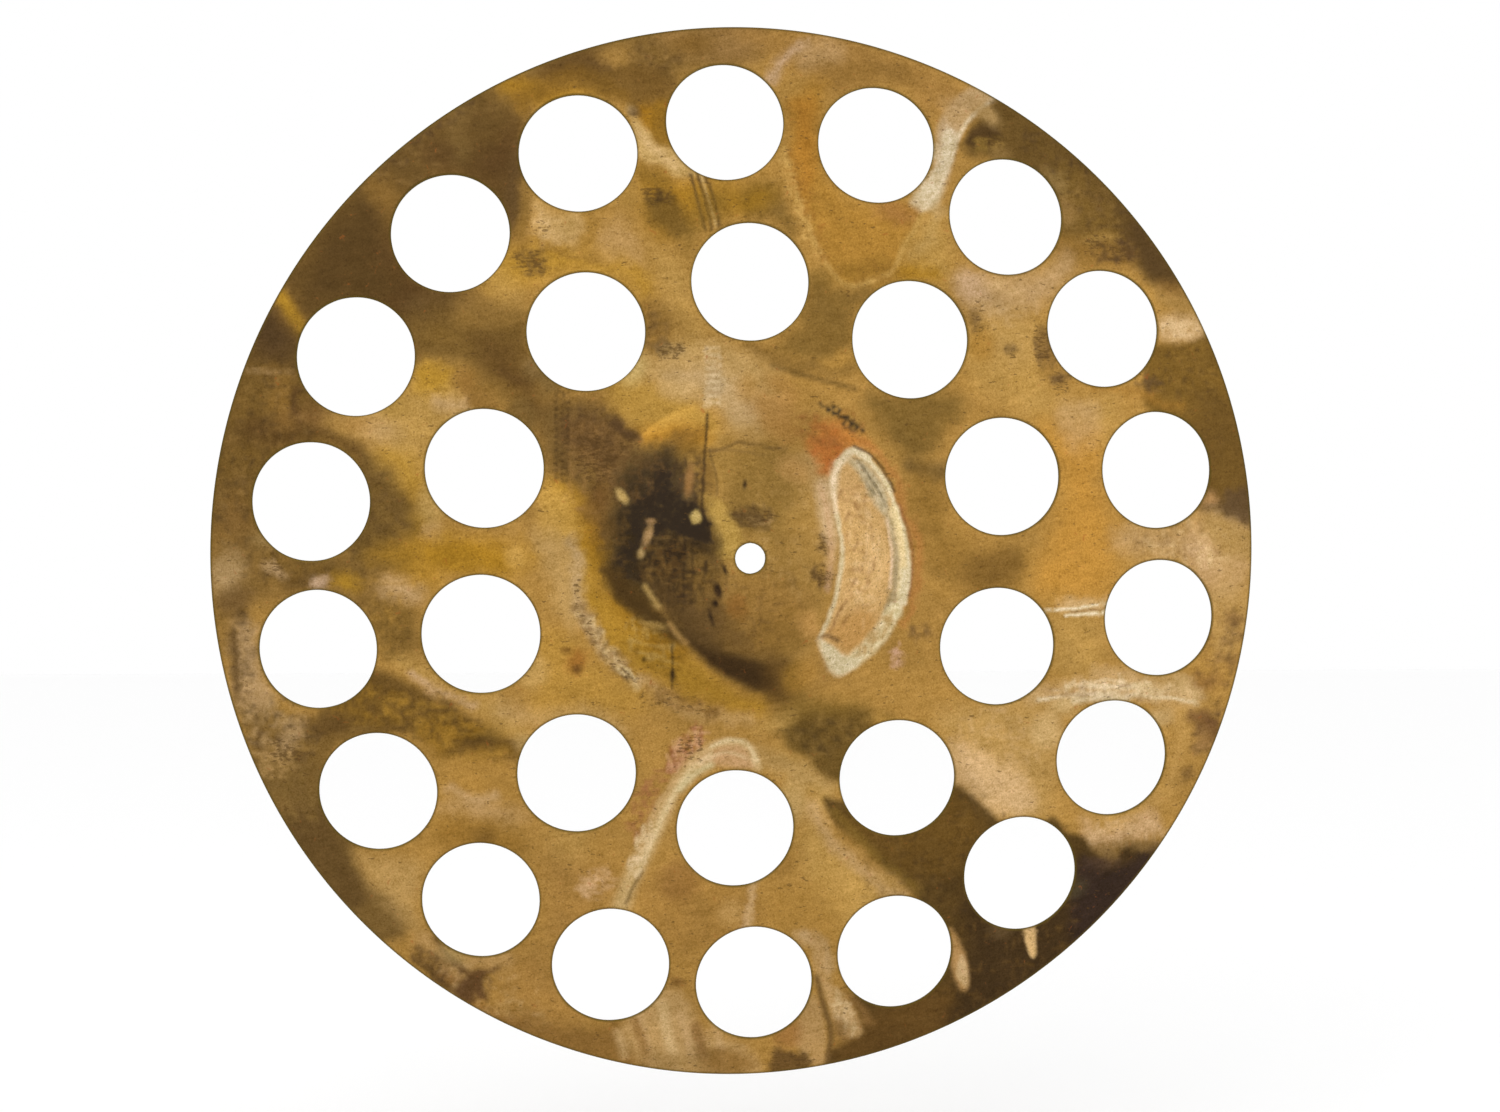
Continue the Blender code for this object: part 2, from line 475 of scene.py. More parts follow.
class Patina:
    """Colours and films laid over points of the sheet, given in hundredths of the rim's radius.

    A pool is a filled outline, a streak follows a path and a dab is an oval. Their edges wander with the
    ragged coordinates. A patch, a line and a spot are the same three, sharply drawn in the crisp coordinates.
    """

    def __init__(self, x, z, ground, seed):
        wander_x = 1.5 * cloud(x, z, 9, seed) + 0.9 * cloud(x, z, 2.6, seed + 10)
        wander_z = 1.5 * cloud(x, z, 9, seed + 20) + 0.9 * cloud(x, z, 2.6, seed + 30)
        fray_x, fray_z = 0.6 * cloud(x, z, 0.9, seed + 40), 0.6 * cloud(x, z, 0.9, seed + 50)
        self.ragged = (x + wander_x + fray_x, z + wander_z + fray_z)
        self.crisp = (x + 0.2 * wander_x + 0.3 * fray_x, z + 0.2 * wander_z + 0.3 * fray_z)
        self.tone = np.tile(linear(ground), (len(x), 1))
        self.film = {name: np.zeros(len(x)) for name in FILMS}

    def near(self, path, reach, crisp):
        """The numbers of the points within reach of a path's box, and where they are."""
        x, z = self.crisp if crisp else self.ragged
        low, high = path.min(axis=0) - reach, path.max(axis=0) + reach
        chosen = np.flatnonzero((x > low[0]) & (x < high[0]) & (z > low[1]) & (z < high[1]))
        return chosen, x[chosen], z[chosen]

    def lay(self, what, chosen, cover):
        """Covers the chosen points with a tone, or with a film named in FILMS."""
        if isinstance(what, str):
            self.film[what][chosen] = np.maximum(self.film[what][chosen], cover)
        else:
            self.tone[chosen] += (linear(what) - self.tone[chosen]) * cover[:, None]

    def pool(self, what, strength, soft, *outline, crisp=False):
        path = curve(outline, closed=True)
        chosen, x, z = self.near(path, soft, crisp)
        edge = distance(path, x, z, closed=True)
        self.lay(what, chosen, strength * smooth(soft, -soft, edge))

    def patch(self, what, strength, soft, *outline):
        self.pool(what, strength, soft, *outline, crisp=True)

    def streak(self, what, strength, width, soft, *path, crisp=False):
        path = curve(path, closed=False)
        chosen, x, z = self.near(path, width / 2 + soft, crisp)
        away = distance(path, x, z, closed=False)
        self.lay(what, chosen, strength * smooth(width / 2 + soft, width / 2 - soft, away))

    def line(self, what, strength, width, soft, *path):
        self.streak(what, strength, width, soft, *path, crisp=True)

    def dab(self, what, strength, soft, x, z, half_width, half_height, turn=0, crisp=False):
        """An oval, turned anticlockwise by so many degrees."""
        chosen, cover = self.oval(soft, x, z, half_width, half_height, turn, crisp)
        self.lay(what, chosen, strength * cover)

    def spot(self, what, strength, soft, x, z, half_width, half_height, turn=0):
        self.dab(what, strength, soft, x, z, half_width, half_height, turn, crisp=True)

    def touches(self, *touches):
        """Gentle corrections of the ground: each a tone, then an oval's place, half sizes and turn."""
        for tone, *oval in touches:
            self.spot(tone, TOUCH_STRENGTH, TOUCH_SOFTNESS, *oval)

    def spare(self, film, soft, x, z, half_width, half_height, turn=0):
        """An oval gap in a film."""
        chosen, cover = self.oval(soft, x, z, half_width, half_height, turn, crisp=True)
        self.film[film][chosen] *= 1 - cover

    def hatch(self, tone, strength, count, x, z, half_width, half_height, seed, lean=0):
        """Short fine marks, each nearly upright or level, scattered over a leaning oval."""
        draw = np.random.default_rng(seed)
        c, s = cos(radians(lean)), sin(radians(lean))
        for _ in range(count):
            reach, turn = sqrt(draw.uniform()), draw.uniform(0, tau)
            u, v = half_width * reach * cos(turn), half_height * reach * sin(turn)
            long, wide = draw.uniform(0.3, 1.1), draw.uniform(0.16, 0.34)
            if draw.uniform() < 0.5:
                long, wide = wide, long
            self.spot(tone, strength * draw.uniform(0.5, 1), HATCH_SOFTNESS, x + u * c - v * s,
                      z + v * c + u * s, long, wide, draw.uniform(-12, 12))

    def oval(self, soft, x, z, half_width, half_height, turn, crisp):
        """The numbers of the points that an oval reaches, and how much it covers each."""
        middle = np.array([[x, z]])
        chosen, px, pz = self.near(middle, max(half_width, half_height) + soft, crisp)
        c, s = cos(radians(turn)), sin(radians(turn))
        u, v = (px - x) * c + (pz - z) * s, (pz - z) * c - (px - x) * s
        edge = (np.hypot(u / half_width, v / half_height) - 1) * min(half_width, half_height)
        return chosen, smooth(soft, -soft, edge)

    def smear(self, depth, cell, turn, stretch, seed):
        """Lightens and darkens the ground in wiped streaks that run along a direction."""
        x, z = self.ragged
        c, s = cos(radians(turn)), sin(radians(turn))
        u, v = x * c + z * s, z * c - x * s
        self.tone *= 1 + depth * cloud(u / stretch, v, cell, seed, 3)[:, None]


def distance(path, x, z, closed):
    """From the points to the path; inside a closed one it is negative."""
    nearest = np.full(len(x), np.inf)
    inside = np.zeros(len(x), bool)
    ends = np.concatenate([path[1:], path[:1]]) if closed else path[1:]
    for (ax, az), (bx, bz) in zip(path, ends):
        dx, dz = bx - ax, bz - az
        share = np.clip(((x - ax) * dx + (z - az) * dz) / max(dx * dx + dz * dz, 1e-9), 0, 1)
        nearest = np.minimum(nearest, (x - ax - share * dx) ** 2 + (z - az - share * dz) ** 2)
        if closed and az != bz:
            crosses = (az > z) != (bz > z)
            inside ^= crosses & (x < ax + (z - az) * dx / (bz - az))
    return np.where(inside, -1, 1) * np.sqrt(nearest)


def umber_upper_left(p):
    """The dark umber rim at the upper left, down to the second ring of holes."""
    p.pool((100, 74, 34), 0.97, 4, (-106, 8), (-104, 44), (-54, 96), (-44, 90), (-40, 74), (-46, 58),
           (-62, 36), (-80, 24), (-92, 4))
    p.pool(OLIVE, 0.7, 5, (-100, 4), (-98, 32), (-86, 36), (-78, 24), (-70, 18), (-66, 4), (-80, -4))
    p.pool(DEEP, 0.8, 5, (-70, 66), (-64, 55), (-50, 45), (-62, 42), (-74, 50), (-86, 46))
    p.pool(DEEP, 0.75, 4, (-44, 82), (-43, 72), (-48, 70), (-60, 76))
    p.pool((97, 72, 33), 0.85, 3, (-90, 44), (-58, 88), (-44, 84), (-50, 73), (-58, 74), (-69, 58),
           (-66, 50))
    p.pool((84, 61, 28), 0.75, 2.5, (-80, 56), (-74, 64), (-68, 66), (-68, 56), (-64, 49), (-80, 48))
    p.streak((112, 86, 44), 0.7, 3, 2, (-53, 85), (-54, 79), (-53, 74))
    p.pool((92, 68, 36), 0.85, 1.8, (-42.6, 77), (-41.6, 70), (-42.4, 63), (-44.6, 58), (-46, 64))
    p.pool((104, 78, 40), 0.85, 2, (-64, 48), (-56, 49), (-46, 47), (-42, 42), (-44, 36), (-54, 36),
           (-62, 40))
    p.hatch((74, 54, 32), 0.6, 120, -62, 80, 20, 4, 30, lean=40)
    p.hatch((132, 102, 56), 0.5, 60, -60, 78, 18, 6, 31, lean=40)
    p.dab(BROWN, 0.5, 2, -67, 67, 2.5, 5, 30)
    p.streak(BROWN, 0.8, 5, 2, (-88, 49), (-84, 43))
    p.line(GOLD, 0.75, 2.4, 1, (-87, 48.5), (-85, 45.5), (-83.2, 42.5))
    p.dab((82, 60, 34), 0.8, 3, -88, 41, 4, 5, 30)
    p.line(HAZE, 0.5, 0.5, 0.4, (-93, 34.6), (-85, 34.2))
    p.dab(BROWN, 0.8, 2, -86.5, 28, 2.5, 6, 10)
    p.line(DEEP, 0.9, 1.2, 0.8, (-84, 31), (-84.5, 28), (-83, 25))
    p.dab(DEEP, 0.6, 2, -91, 24, 4, 3, 20)
    p.streak(UMBER, 0.8, 2.5, 1.5, (-88, 22), (-80, 22.5), (-74, 21), (-70, 16), (-68, 11))
    p.pool((118, 90, 44), 0.9, 2.4, (-71, 18), (-67, 17), (-62, 11), (-60, 5), (-62, -3), (-72, -2),
           (-74, 4))
    p.dab((132, 96, 52), 0.6, 2, -81, 25.5, 5, 2)
    p.dab((140, 104, 56), 0.5, 3, -95, 5, 3, 6)
    p.hatch((78, 58, 32), 0.6, 150, -90, 18, 8, 20, 56, lean=-14)
    p.hatch((146, 112, 60), 0.5, 90, -90, 18, 8, 20, 57, lean=-14)
    p.hatch((92, 68, 36), 0.5, 80, -68, 8, 5, 9, 58)


def straw_left(p):
    """Gold and straw between the two rings, left."""
    p.pool(STRAW, 0.85, 3.5, (-77, 25), (-66, 29), (-61, 35), (-55, 34), (-52.4, 27.6), (-58, 22),
           (-62, 14), (-66, 16), (-69, 22))
    p.pool(GOLD, 0.75, 2, (-63, 34), (-60, 36), (-55, 34), (-57, 31), (-62, 31))
    p.pool(GOLD, 0.6, 3, (-68, 20), (-64, 20), (-60, 14), (-62, 6), (-56, 3), (-62, 10))
    p.streak(HAZE, 0.7, 2.4, 1.5, (-58, 29), (-52.6, 28.5))
    p.dab(HAZE, 0.5, 2.5, -69, 24, 4, 2, -20)
    p.dab(HAZE, 0.7, 1.5, -58.5, 4, 2, 2)


def olive_upper_left(p):
    """Olive umber between the inner holes and the outer ring."""
    p.pool(OLIVE, 0.85, 4, (-62, 44), (-44, 47), (-41, 42), (-42, 34), (-38, 28), (-46, 29), (-54, 35),
           (-62, 38))
    p.pool((100, 72, 34), 0.75, 4, (-50, 42), (-44, 40), (-40, 33), (-34, 29), (-25, 30), (-24, 20),
           (-34, 14), (-42, 29), (-50, 35))
    p.streak(DEEP, 0.6, 1.5, 1.5, (-46, 35), (-41, 32))
    p.pool((138, 102, 48), 0.8, 1, (-52, 32.6), (-46, 28), (-50, 27.6), (-52.8, 29.4))
    p.pool((152, 116, 58), 0.6, 1.6, (-55, 47.6), (-48, 49), (-43, 46.6), (-45, 43.4), (-53, 43.6))


def haze_upper_left(p):
    """Gold right of the second outer hole, a haze patch and a dotted spot."""
    p.pool(GOLD, 0.6, 3, (-46, 56), (-40, 58), (-20, 55), (-19, 48), (-26, 54), (-46, 50))
    p.pool(STRAW, 0.5, 2.5, (-48, 52), (-45, 54), (-42, 48), (-47, 48.5))
    p.pool((182, 147, 92), 0.8, 1.6, (-39.4, 67), (-35, 64.4), (-31, 64), (-30, 60), (-33, 58), (-39.6, 61))
    p.pool(HAZE, 0.35, 2, (-23.6, 63), (-20, 56), (-27, 58))
    p.line((130, 98, 46), 0.85, 2, 0.9, (-40.6, 70.6), (-41.4, 65), (-42.4, 60))
    p.dab((150, 113, 50), 0.7, 1.2, -27.6, 65.4, 2.4, 1.4, 20)
    p.streak((156, 117, 50), 0.7, 2, 1.2, (-29.4, 64.6), (-29, 61), (-30, 57.6))
    p.streak(BROWN, 0.6, 1, 0.8, (-38, 57.5), (-33, 56), (-27, 56.5))
    p.hatch((92, 68, 40), 0.65, 46, -40, 55, 3.4, 2.6, 33)
    p.hatch((198, 164, 114), 0.35, 50, -37, 61, 3.4, 3, 34)


def rim_top(p):
    """The top of the rim, beside the first outer hole."""
    p.pool((124, 94, 46), 0.9, 3, (-50, 91), (-30, 99), (0, 103), (2, 94), (-14, 90), (-20, 76), (-22, 88),
           (-34, 89), (-44, 84))
    p.hatch((88, 64, 34), 0.6, 90, -26, 91, 16, 4, 35, lean=15)
    p.hatch((160, 124, 70), 0.5, 60, -22, 92, 14, 4, 36, lean=15)
    p.pool(UMBER, 0.8, 2.5, (-37, 93), (-29, 96), (-25, 91), (-36, 90))
    p.pool(AMBER, 0.7, 2, (-46, 88), (-40, 89), (-26, 87), (-40, 85))
    p.pool(UMBER, 0.7, 2, (-24, 91), (-17, 92), (-13, 89), (-16, 86))
    p.pool((152, 108, 26), 0.9, 2, (-20, 85), (-15, 85), (-17, 78), (-20, 81))
    p.pool(TAN, 0.5, 1.4, (-27, 94.6), (-23, 96.4), (-21, 94), (-23, 92))
    p.pool((122, 90, 40), 0.8, 1.6, (-26, 90), (-20, 93), (-14, 90), (-14.6, 85), (-19, 84.6))
    p.pool((124, 90, 32), 0.75, 1.4, (-44, 86), (-40, 88), (-34, 91.6), (-26, 91), (-21, 86.4), (-24, 85.6),
           (-31, 88), (-37, 86), (-41, 83))
    p.pool((150, 114, 64), 0.8, 3, (-16, 99), (2, 101), (2, 93), (-8, 94))
    p.patch((184, 150, 92), 0.95, 0.9, (-21, 82), (-17, 79), (-13, 76.5), (-9, 72), (-13, 71.5),
            (-16, 73.4), (-20, 75))
    p.line((198, 164, 112), 0.6, 1.4, 0.8, (-20, 79.6), (-17, 76.4), (-13, 73.4))
    p.patch((136, 99, 32), 0.9, 0.8, (-17, 85), (-14.4, 85), (-13, 79), (-13, 76.8), (-16.4, 77.2),
            (-17.6, 80))
    p.spot((176, 146, 98), 0.8, 0.5, -21.2, 83.6, 1, 1.3, 10)
    p.spot((70, 48, 28), 0.95, 0.4, -20.7, 83.1, 0.5, 0.5)
    p.hatch((100, 74, 40), 0.9, 8, -20.6, 83.4, 1.4, 1, 38)
    p.pool((164, 120, 34), 0.85, 3, (-19, 70), (3, 70), (3, 66), (-10, 63), (-16, 60))
    p.pool((140, 104, 38), 0.8, 1.2, (-20, 74.4), (-16.6, 72.6), (-13.4, 71), (-15.4, 69), (-20, 69.6))
    p.pool((114, 86, 38), 0.85, 1.6, (-19, 67), (-15, 68.4), (-12, 65.6), (-10.6, 61), (-14, 59.6),
           (-18, 63))
    p.hatch((78, 58, 30), 0.75, 24, -16.6, 67.4, 3.4, 1.4, 37)
    for x in (-10.4, -9, -7.4):
        p.line((84, 62, 34), 0.9, 0.5, 0.35, (x, 72), (x + 1.2, 68), (x + 2.8, 61.5))
    p.line((206, 176, 120), 0.6, 0.4, 0.35, (-8.2, 72), (-6.6, 66), (-5.4, 62))
    p.pool((126, 96, 40), 0.7, 3, (-8, 69), (-3, 69), (-4, 64), (-8, 61), (-10, 56), (-12, 60))


def tan_top(p):
    """The pale tan field left of the top inner hole."""
    p.pool(STRAW, 0.7, 3, (-18, 58), (-11, 54), (-10, 48), (-8, 42), (-14, 38), (-16, 50))
    p.pool(BROWN, 0.7, 2.5, (-20, 47), (-14, 47), (-11, 43), (-13, 39), (-18, 38))
    p.hatch((92, 70, 40), 0.8, 50, -14.6, 38.8, 3, 1.6, 39)
    p.hatch((120, 90, 48), 0.6, 50, -17, 42, 2.6, 3.6, 40)


def touches_upper_left(p):
    """Lighter and darker patches, upper left."""
    p.touches(
        ((160, 130, 80), -89, 2.2, 3.2, 2), ((160, 125, 60), -66.4, 28.4, 3, 2.4, -20),
        ((114, 88, 46), -42, 25.6, 3, 4), ((112, 89, 52), -39.4, 35.4, 2.6, 2.6),
        ((184, 149, 86), -58.8, 10, 2.6, 4),
    )


def rim_upper_right(p):
    """The tan brown arc of the rim, right of the top."""
    p.pool((160, 120, 62), 0.8, 3, (0, 99), (20, 98), (48, 87), (36, 84), (30, 89), (16, 89))
    p.streak(PINK, 0.75, 1.6, 1.2, (5, 90), (7, 93.5), (11, 97))
    p.pool(HAZE, 0.5, 2, (11, 97), (18, 97), (19, 94), (12, 92))


def tongue_reflection(p):
    """A painted reflection: the orange gold tongue that hangs from the rim, with its pale outline."""
    p.pool((166, 122, 50), 0.85, 2, (16, 90), (15, 82), (16, 72), (24, 66), (32, 67), (29, 55), (17, 53),
           (8, 82))
    p.pool((174, 120, 44), 0.7, 2, (9, 84), (14, 85), (12, 66))
    p.pool(BROWN, 0.6, 2, (14, 93), (30, 93), (36, 88), (30, 89.5), (18, 89))
    p.pool((150, 112, 44), 0.6, 2, (18, 55), (28, 56), (29, 53), (22, 50.5))
    p.dab((160, 112, 62), 0.6, 1.5, 29, 65, 4, 1.6, -20)
    p.line(STRAW, 0.8, 0.9, 0.5, (7.5, 77), (11.5, 64), (14.5, 57), (18, 52), (20.5, 51))
    p.line(STRAW, 0.9, 1.1, 0.6, (20.5, 51), (24, 52), (28, 54), (30, 58), (32.5, 62), (34.5, 66))
    p.hatch((150, 104, 42), 0.6, 60, 12, 66, 1.6, 11, 92, lean=18)
    p.hatch((202, 162, 92), 0.5, 40, 10.4, 66, 1.4, 11, 93, lean=18)
    p.hatch((146, 106, 44), 0.6, 50, 23, 54, 6, 2.4, 98)


def pink_band_reflection(p):
    """A painted reflection: the pale pink band down from the rim, an arc beside the tongue."""
    p.patch((182, 152, 110), 0.95, 0.9, (49, 88), (43.5, 84), (41, 79), (40, 74), (38, 69), (34, 65),
            (32, 67.5), (35, 70), (37, 75), (37, 81), (40, 86), (44, 89))
    p.patch((198, 176, 138), 0.85, 0.8, (41, 80), (39.5, 74), (37, 69), (34, 66.5), (33, 68), (36, 71),
            (38, 76), (38, 80))
    p.pool((176, 140, 88), 0.6, 1.5, (38, 87), (46, 89), (49, 87.5), (42, 82), (39, 83))
    p.patch((188, 164, 122), 0.8, 0.9, (31.4, 67), (34, 70), (37, 73), (38.4, 70), (36.4, 65.6), (33, 66))
    p.streak((188, 156, 104), 0.7, 2, 1.2, (37, 65), (35, 61), (33, 58))
    p.hatch((220, 200, 164), 0.5, 60, 37, 74, 2, 8, 97, lean=-20)
    p.line((208, 186, 148), 0.8, 0.8, 0.5, (48.6, 87.4), (44, 83.6), (41, 79.4), (39.4, 74), (37, 69),
           (34, 65.6))


def olive_tip(p):
    """Gold beyond the pink band, and the olive hollow at the tongue's tip."""
    p.pool((178, 140, 72), 0.7, 2.5, (34, 64), (38, 62), (38, 52), (30, 56))
    p.pool(AMBER, 0.7, 1.5, (29, 55), (34, 55.5), (38, 52), (30, 52.5))
    p.pool((126, 96, 44), 0.85, 2.5, (12, 52), (18, 51), (22, 49), (21, 42), (20, 36), (6, 39), (10, 43),
           (12, 48))
    p.pool((124, 94, 42), 0.85, 2, (-1, 69), (6, 71), (8, 66), (9, 60), (5, 63), (0, 64))
    p.dab(AMBER, 0.5, 2, 2, 67, 4, 2, 20)


def umber_upper_right(p):
    """Umber on the upper right rim."""
    p.pool((104, 78, 36), 0.95, 1.6, (42.5, 80), (50, 89), (64, 84), (92, 54), (88, 49), (72, 58), (60, 62),
           (56, 70), (50, 74), (42, 76.5))
    p.patch((80, 58, 30), 0.8, 0.9, (42.4, 79), (44.6, 81.6), (48.4, 81.8), (50, 79.6), (46.6, 78),
            (43.8, 77.4))
    p.pool((124, 94, 42), 0.75, 3, (60, 76), (74, 60), (60, 58))
    p.hatch((134, 104, 48), 0.7, 30, 47.4, 78.4, 3, 1.8, 99)
    p.dab((82, 60, 32), 0.8, 3, 80, 58, 8, 3.5, -52)
    p.pool(BROWN, 0.8, 2.5, (60, 60), (68, 61), (76, 58), (73, 55), (61, 55))
    p.dab(STRAW, 0.6, 1, 69, 60.5, 3, 0.8, 5)
    p.dab((166, 132, 78), 0.8, 1, 46.6, 84.4, 2.4, 1.6, -40)
    p.dab((150, 121, 72), 0.6, 1.6, 60, 71, 3, 2, -40)
    p.hatch((82, 60, 34), 0.6, 110, 66, 70, 16, 5, 47, lean=-42)
    p.hatch((140, 108, 58), 0.5, 70, 66, 66, 12, 6, 48, lean=-42)
    p.hatch((80, 58, 36), 0.6, 60, 72, 58, 5, 2.4, 49)
    p.pool(HAZE, 0.7, 2.5, (40, 53), (47, 53), (56, 54), (62, 57), (62, 53), (54, 47), (44, 46))
    p.pool(PINK, 0.5, 2, (41, 53), (46, 53.5), (45, 48), (41, 50))


def cream_patch(p):
    """The cream patch on the right rim, and the umber below it."""
    p.pool((150, 116, 62), 0.85, 1.5, (80, 52), (87, 50), (90, 45), (84, 45))
    p.patch((180, 146, 98), 0.9, 1.2, (81, 45.5), (86, 46), (90, 45), (94, 41), (86, 40.6), (81.5, 41))
    p.hatch((200, 168, 122), 0.7, 40, 85, 43.4, 4, 1.6, 41)
    p.patch((116, 86, 34), 0.97, 0.9, (79, 40), (86, 40.6), (96, 42), (104, 20), (101, 8), (94, 7),
            (91, 10), (80, 26), (77.6, 29.6), (78, 36))
    p.hatch((90, 66, 32), 0.5, 110, 88, 28, 6, 14, 59, lean=14)
    p.hatch((138, 104, 46), 0.5, 70, 86, 34, 6, 8, 60)
    p.hatch((96, 72, 42), 0.7, 36, 78.6, 32.4, 3, 1.6, 61)
    p.pool((102, 75, 33), 0.6, 3, (88, 30), (96, 30), (101, 14), (96, 7), (88, 20))
    p.dab((86, 64, 40), 0.7, 1.5, 91.5, 10, 2, 2)


def tan_right(p):
    """The tan field, right."""
    p.pool(STRAW, 0.65, 4, (44, 44), (56, 44), (60, 30), (72, 30), (68, 20), (48, 30), (43, 36))
    p.pool((184, 146, 84), 0.5, 3, (46, 46), (54, 45), (54, 38), (47, 38))
    p.dab(BROWN, 0.6, 1.5, 58, 38, 2.2, 5, 15)
    p.hatch((104, 78, 46), 0.6, 54, 58, 39.6, 2.6, 4.4, 42, lean=15)
    p.hatch((104, 78, 46), 0.6, 22, 61, 34, 2, 1.6, 43)
    p.hatch((120, 92, 54), 0.6, 10, 50.4, 39.4, 1.4, 0.8, 44)
    p.hatch((104, 78, 46), 0.6, 16, 44.4, 44.6, 1.2, 2.6, 45)
    p.hatch((190, 156, 106), 0.5, 60, 50, 48, 7, 5, 46)
    p.streak((150, 108, 44), 0.6, 1.2, 0.8, (67, 32), (73, 31.5), (85, 28.5))


def olive_right(p):
    """The olive patch below the right inner hole, and the band into the next."""
    p.pool((120, 92, 42), 0.85, 2.5, (23, 31), (30, 30), (39, 31), (41, 28), (36, 21), (32, 18), (27, 22))
    p.streak((112, 86, 44), 0.85, 3, 1.4, (31, 17), (34.5, 16), (39, 16.4))
    p.pool((142, 106, 46), 0.7, 3, (31, 15), (38, 13), (38, 8), (42, 2), (52, 0), (54, -4), (44, -6),
           (36, -2))
    p.pool((120, 88, 40), 0.6, 2, (44, 0), (52, 1), (53, -4), (46, -6), (41, -4))


def orange_right(p):
    """The orange gold field, right, and the haze towards the rim."""
    p.pool((184, 134, 56), 0.75, 4, (56, 24), (68, 24), (69, 12), (72, 4), (70, -8), (56, -6), (61, 12))
    p.pool(HAZE, 0.5, 2, (61, 28), (68, 29), (68, 23), (63, 21))
    p.pool(HAZE, 0.6, 3, (74, 5), (84, 5), (94, 9), (100, 4), (98, -8), (92, -8), (90, -2), (73, 1))
    p.dab(PINK, 0.4, 2, 90, -1, 2.5, 4, 20)
    p.hatch((206, 174, 124), 0.5, 70, 88, 2, 10, 5, 94)
    p.hatch((126, 94, 50), 0.6, 60, 85, 3, 11, 4, 95)
    p.pool((158, 124, 66), 0.7, 1.4, (92, 8), (101, 3.4), (101, -1), (94, 0.5), (90.6, 4))
    p.pool((94, 71, 44), 0.8, 1, (94, 10), (96.6, 6.6), (101, 4.6), (101, 12), (95, 13))
    p.dab((178, 136, 84), 0.8, 0.8, 91.6, 10.8, 1.2, 0.9)


def arc_top(p):
    """Straight below the top inner hole: gold brown, with an arc and its thin dark line."""
    p.streak((120, 90, 42), 0.7, 2.4, 1.5, (1, 39.5), (8, 36.5), (14, 36), (19, 37))
    p.line((104, 78, 36), 0.8, 0.8, 0.6, (5, 36), (10, 34.5), (21, 31.8))
    p.dab((180, 137, 66), 0.8, 1.2, 18.4, 37.6, 3, 1.4, 15)


def touches_upper_right(p):
    """Lighter and darker patches, upper right."""
    p.touches(
        ((128, 97, 42), 14.6, 52.6, 2.6, 1.8, -20), ((158, 116, 48), 45.4, 40, 2.4, 3),
        ((126, 96, 46), 22.4, 49.6, 2.4, 1.4, 10), ((156, 121, 68), 62, 65.4, 2.6, 2.6),
    )


def rim_left(p):
    """The brown and pink rim, left."""
    p.pool((132, 100, 50), 0.8, 3, (-100, 0), (-90, 2), (-70, -2), (-66, -10), (-70, -12), (-92, -10),
           (-96, -20), (-99, -12))
    p.dab((184, 151, 102), 0.7, 2, -96.5, -3, 3, 3.5)
    p.pool(HAZE, 0.8, 1.6, (-95.5, -14), (-92, -14), (-91, -22), (-88, -28), (-91, -31), (-95, -28))
    p.line(UMBER, 0.8, 1.3, 0.8, (-95.8, -15), (-95.3, -20), (-95, -27))
    p.dab((112, 84, 48), 0.7, 1.5, -95, -9, 2.5, 3)
    p.pool(OLIVE, 0.7, 2, (-90, 0), (-72, -2), (-84, -6.5))
    p.pool(UMBER, 0.5, 1.5, (-87, -4), (-82, -3), (-81, -6), (-86, -7))
    p.dab(PINK, 0.85, 0.8, -79.5, -5.5, 2, 1.4)
    p.dab(HAZE, 0.85, 0.8, -88.5, -3, 2, 1.4, -30)
    p.pool(GOLD, 0.7, 1.5, (-77, -4), (-73, -3), (-72, -6), (-75, -7))


def gold_band(p):
    """The gold band left of the bell, with the haze and umber below it."""
    p.pool((172, 128, 42), 0.75, 3, (-70, 1), (-58, 4), (-40, 2), (-44, -3), (-54, -3), (-60, -6),
           (-66, -2))
    p.pool(AMBER, 0.6, 1.5, (-60, 1), (-48, 2), (-42, 0), (-50, -3), (-57, -3))
    p.pool(HAZE, 0.75, 2, (-68, -5), (-63, -5), (-60, -8), (-62, -10), (-67, -8))
    p.pool(OLIVE, 0.8, 2.5, (-70, -9), (-61, -11), (-61, -17), (-66, -17), (-70, -13))
    p.pool(STRAW, 0.8, 2, (-66, -20), (-61, -19), (-56, -24), (-48, -27), (-43, -31), (-40, -38),
           (-50, -30))
    p.streak(PINK, 0.6, 1.2, 1, (-62, -22.5), (-57, -25.5), (-51, -28))
    p.patch((106, 78, 34), 0.95, 1.2, (-72, -21.6), (-64, -23.4), (-57, -27.2), (-50, -31.2),
            (-42.4, -36.8), (-44, -39), (-50, -37), (-56, -34), (-62, -33), (-74, -34), (-80, -31))
    p.pool((146, 108, 38), 0.85, 1.6, (-62, -31.6), (-54, -30.6), (-47, -34), (-45, -38), (-58, -38))
    p.hatch((84, 62, 30), 0.6, 130, -58, -31, 15, 5, 50, lean=-25)
    p.hatch((164, 124, 50), 0.6, 110, -56, -33, 13, 4, 51, lean=-25)
    p.hatch((150, 112, 42), 0.55, 120, -70, -28.5, 8, 4, 100)
    p.hatch((112, 84, 36), 0.6, 60, -66, -14, 4, 6, 102)
    p.hatch((168, 128, 60), 0.5, 60, -68, -10, 5, 8, 103)
    p.streak((74, 54, 26), 0.9, 2.4, 1.4, (-53, -36), (-50, -35), (-47.5, -35))
    p.streak((104, 76, 34), 0.7, 2, 1.4, (-56, -37), (-50, -36), (-44, -35.5))
    p.dab((164, 126, 58), 0.6, 1.4, -47, -33, 2.4, 1.6, -25)


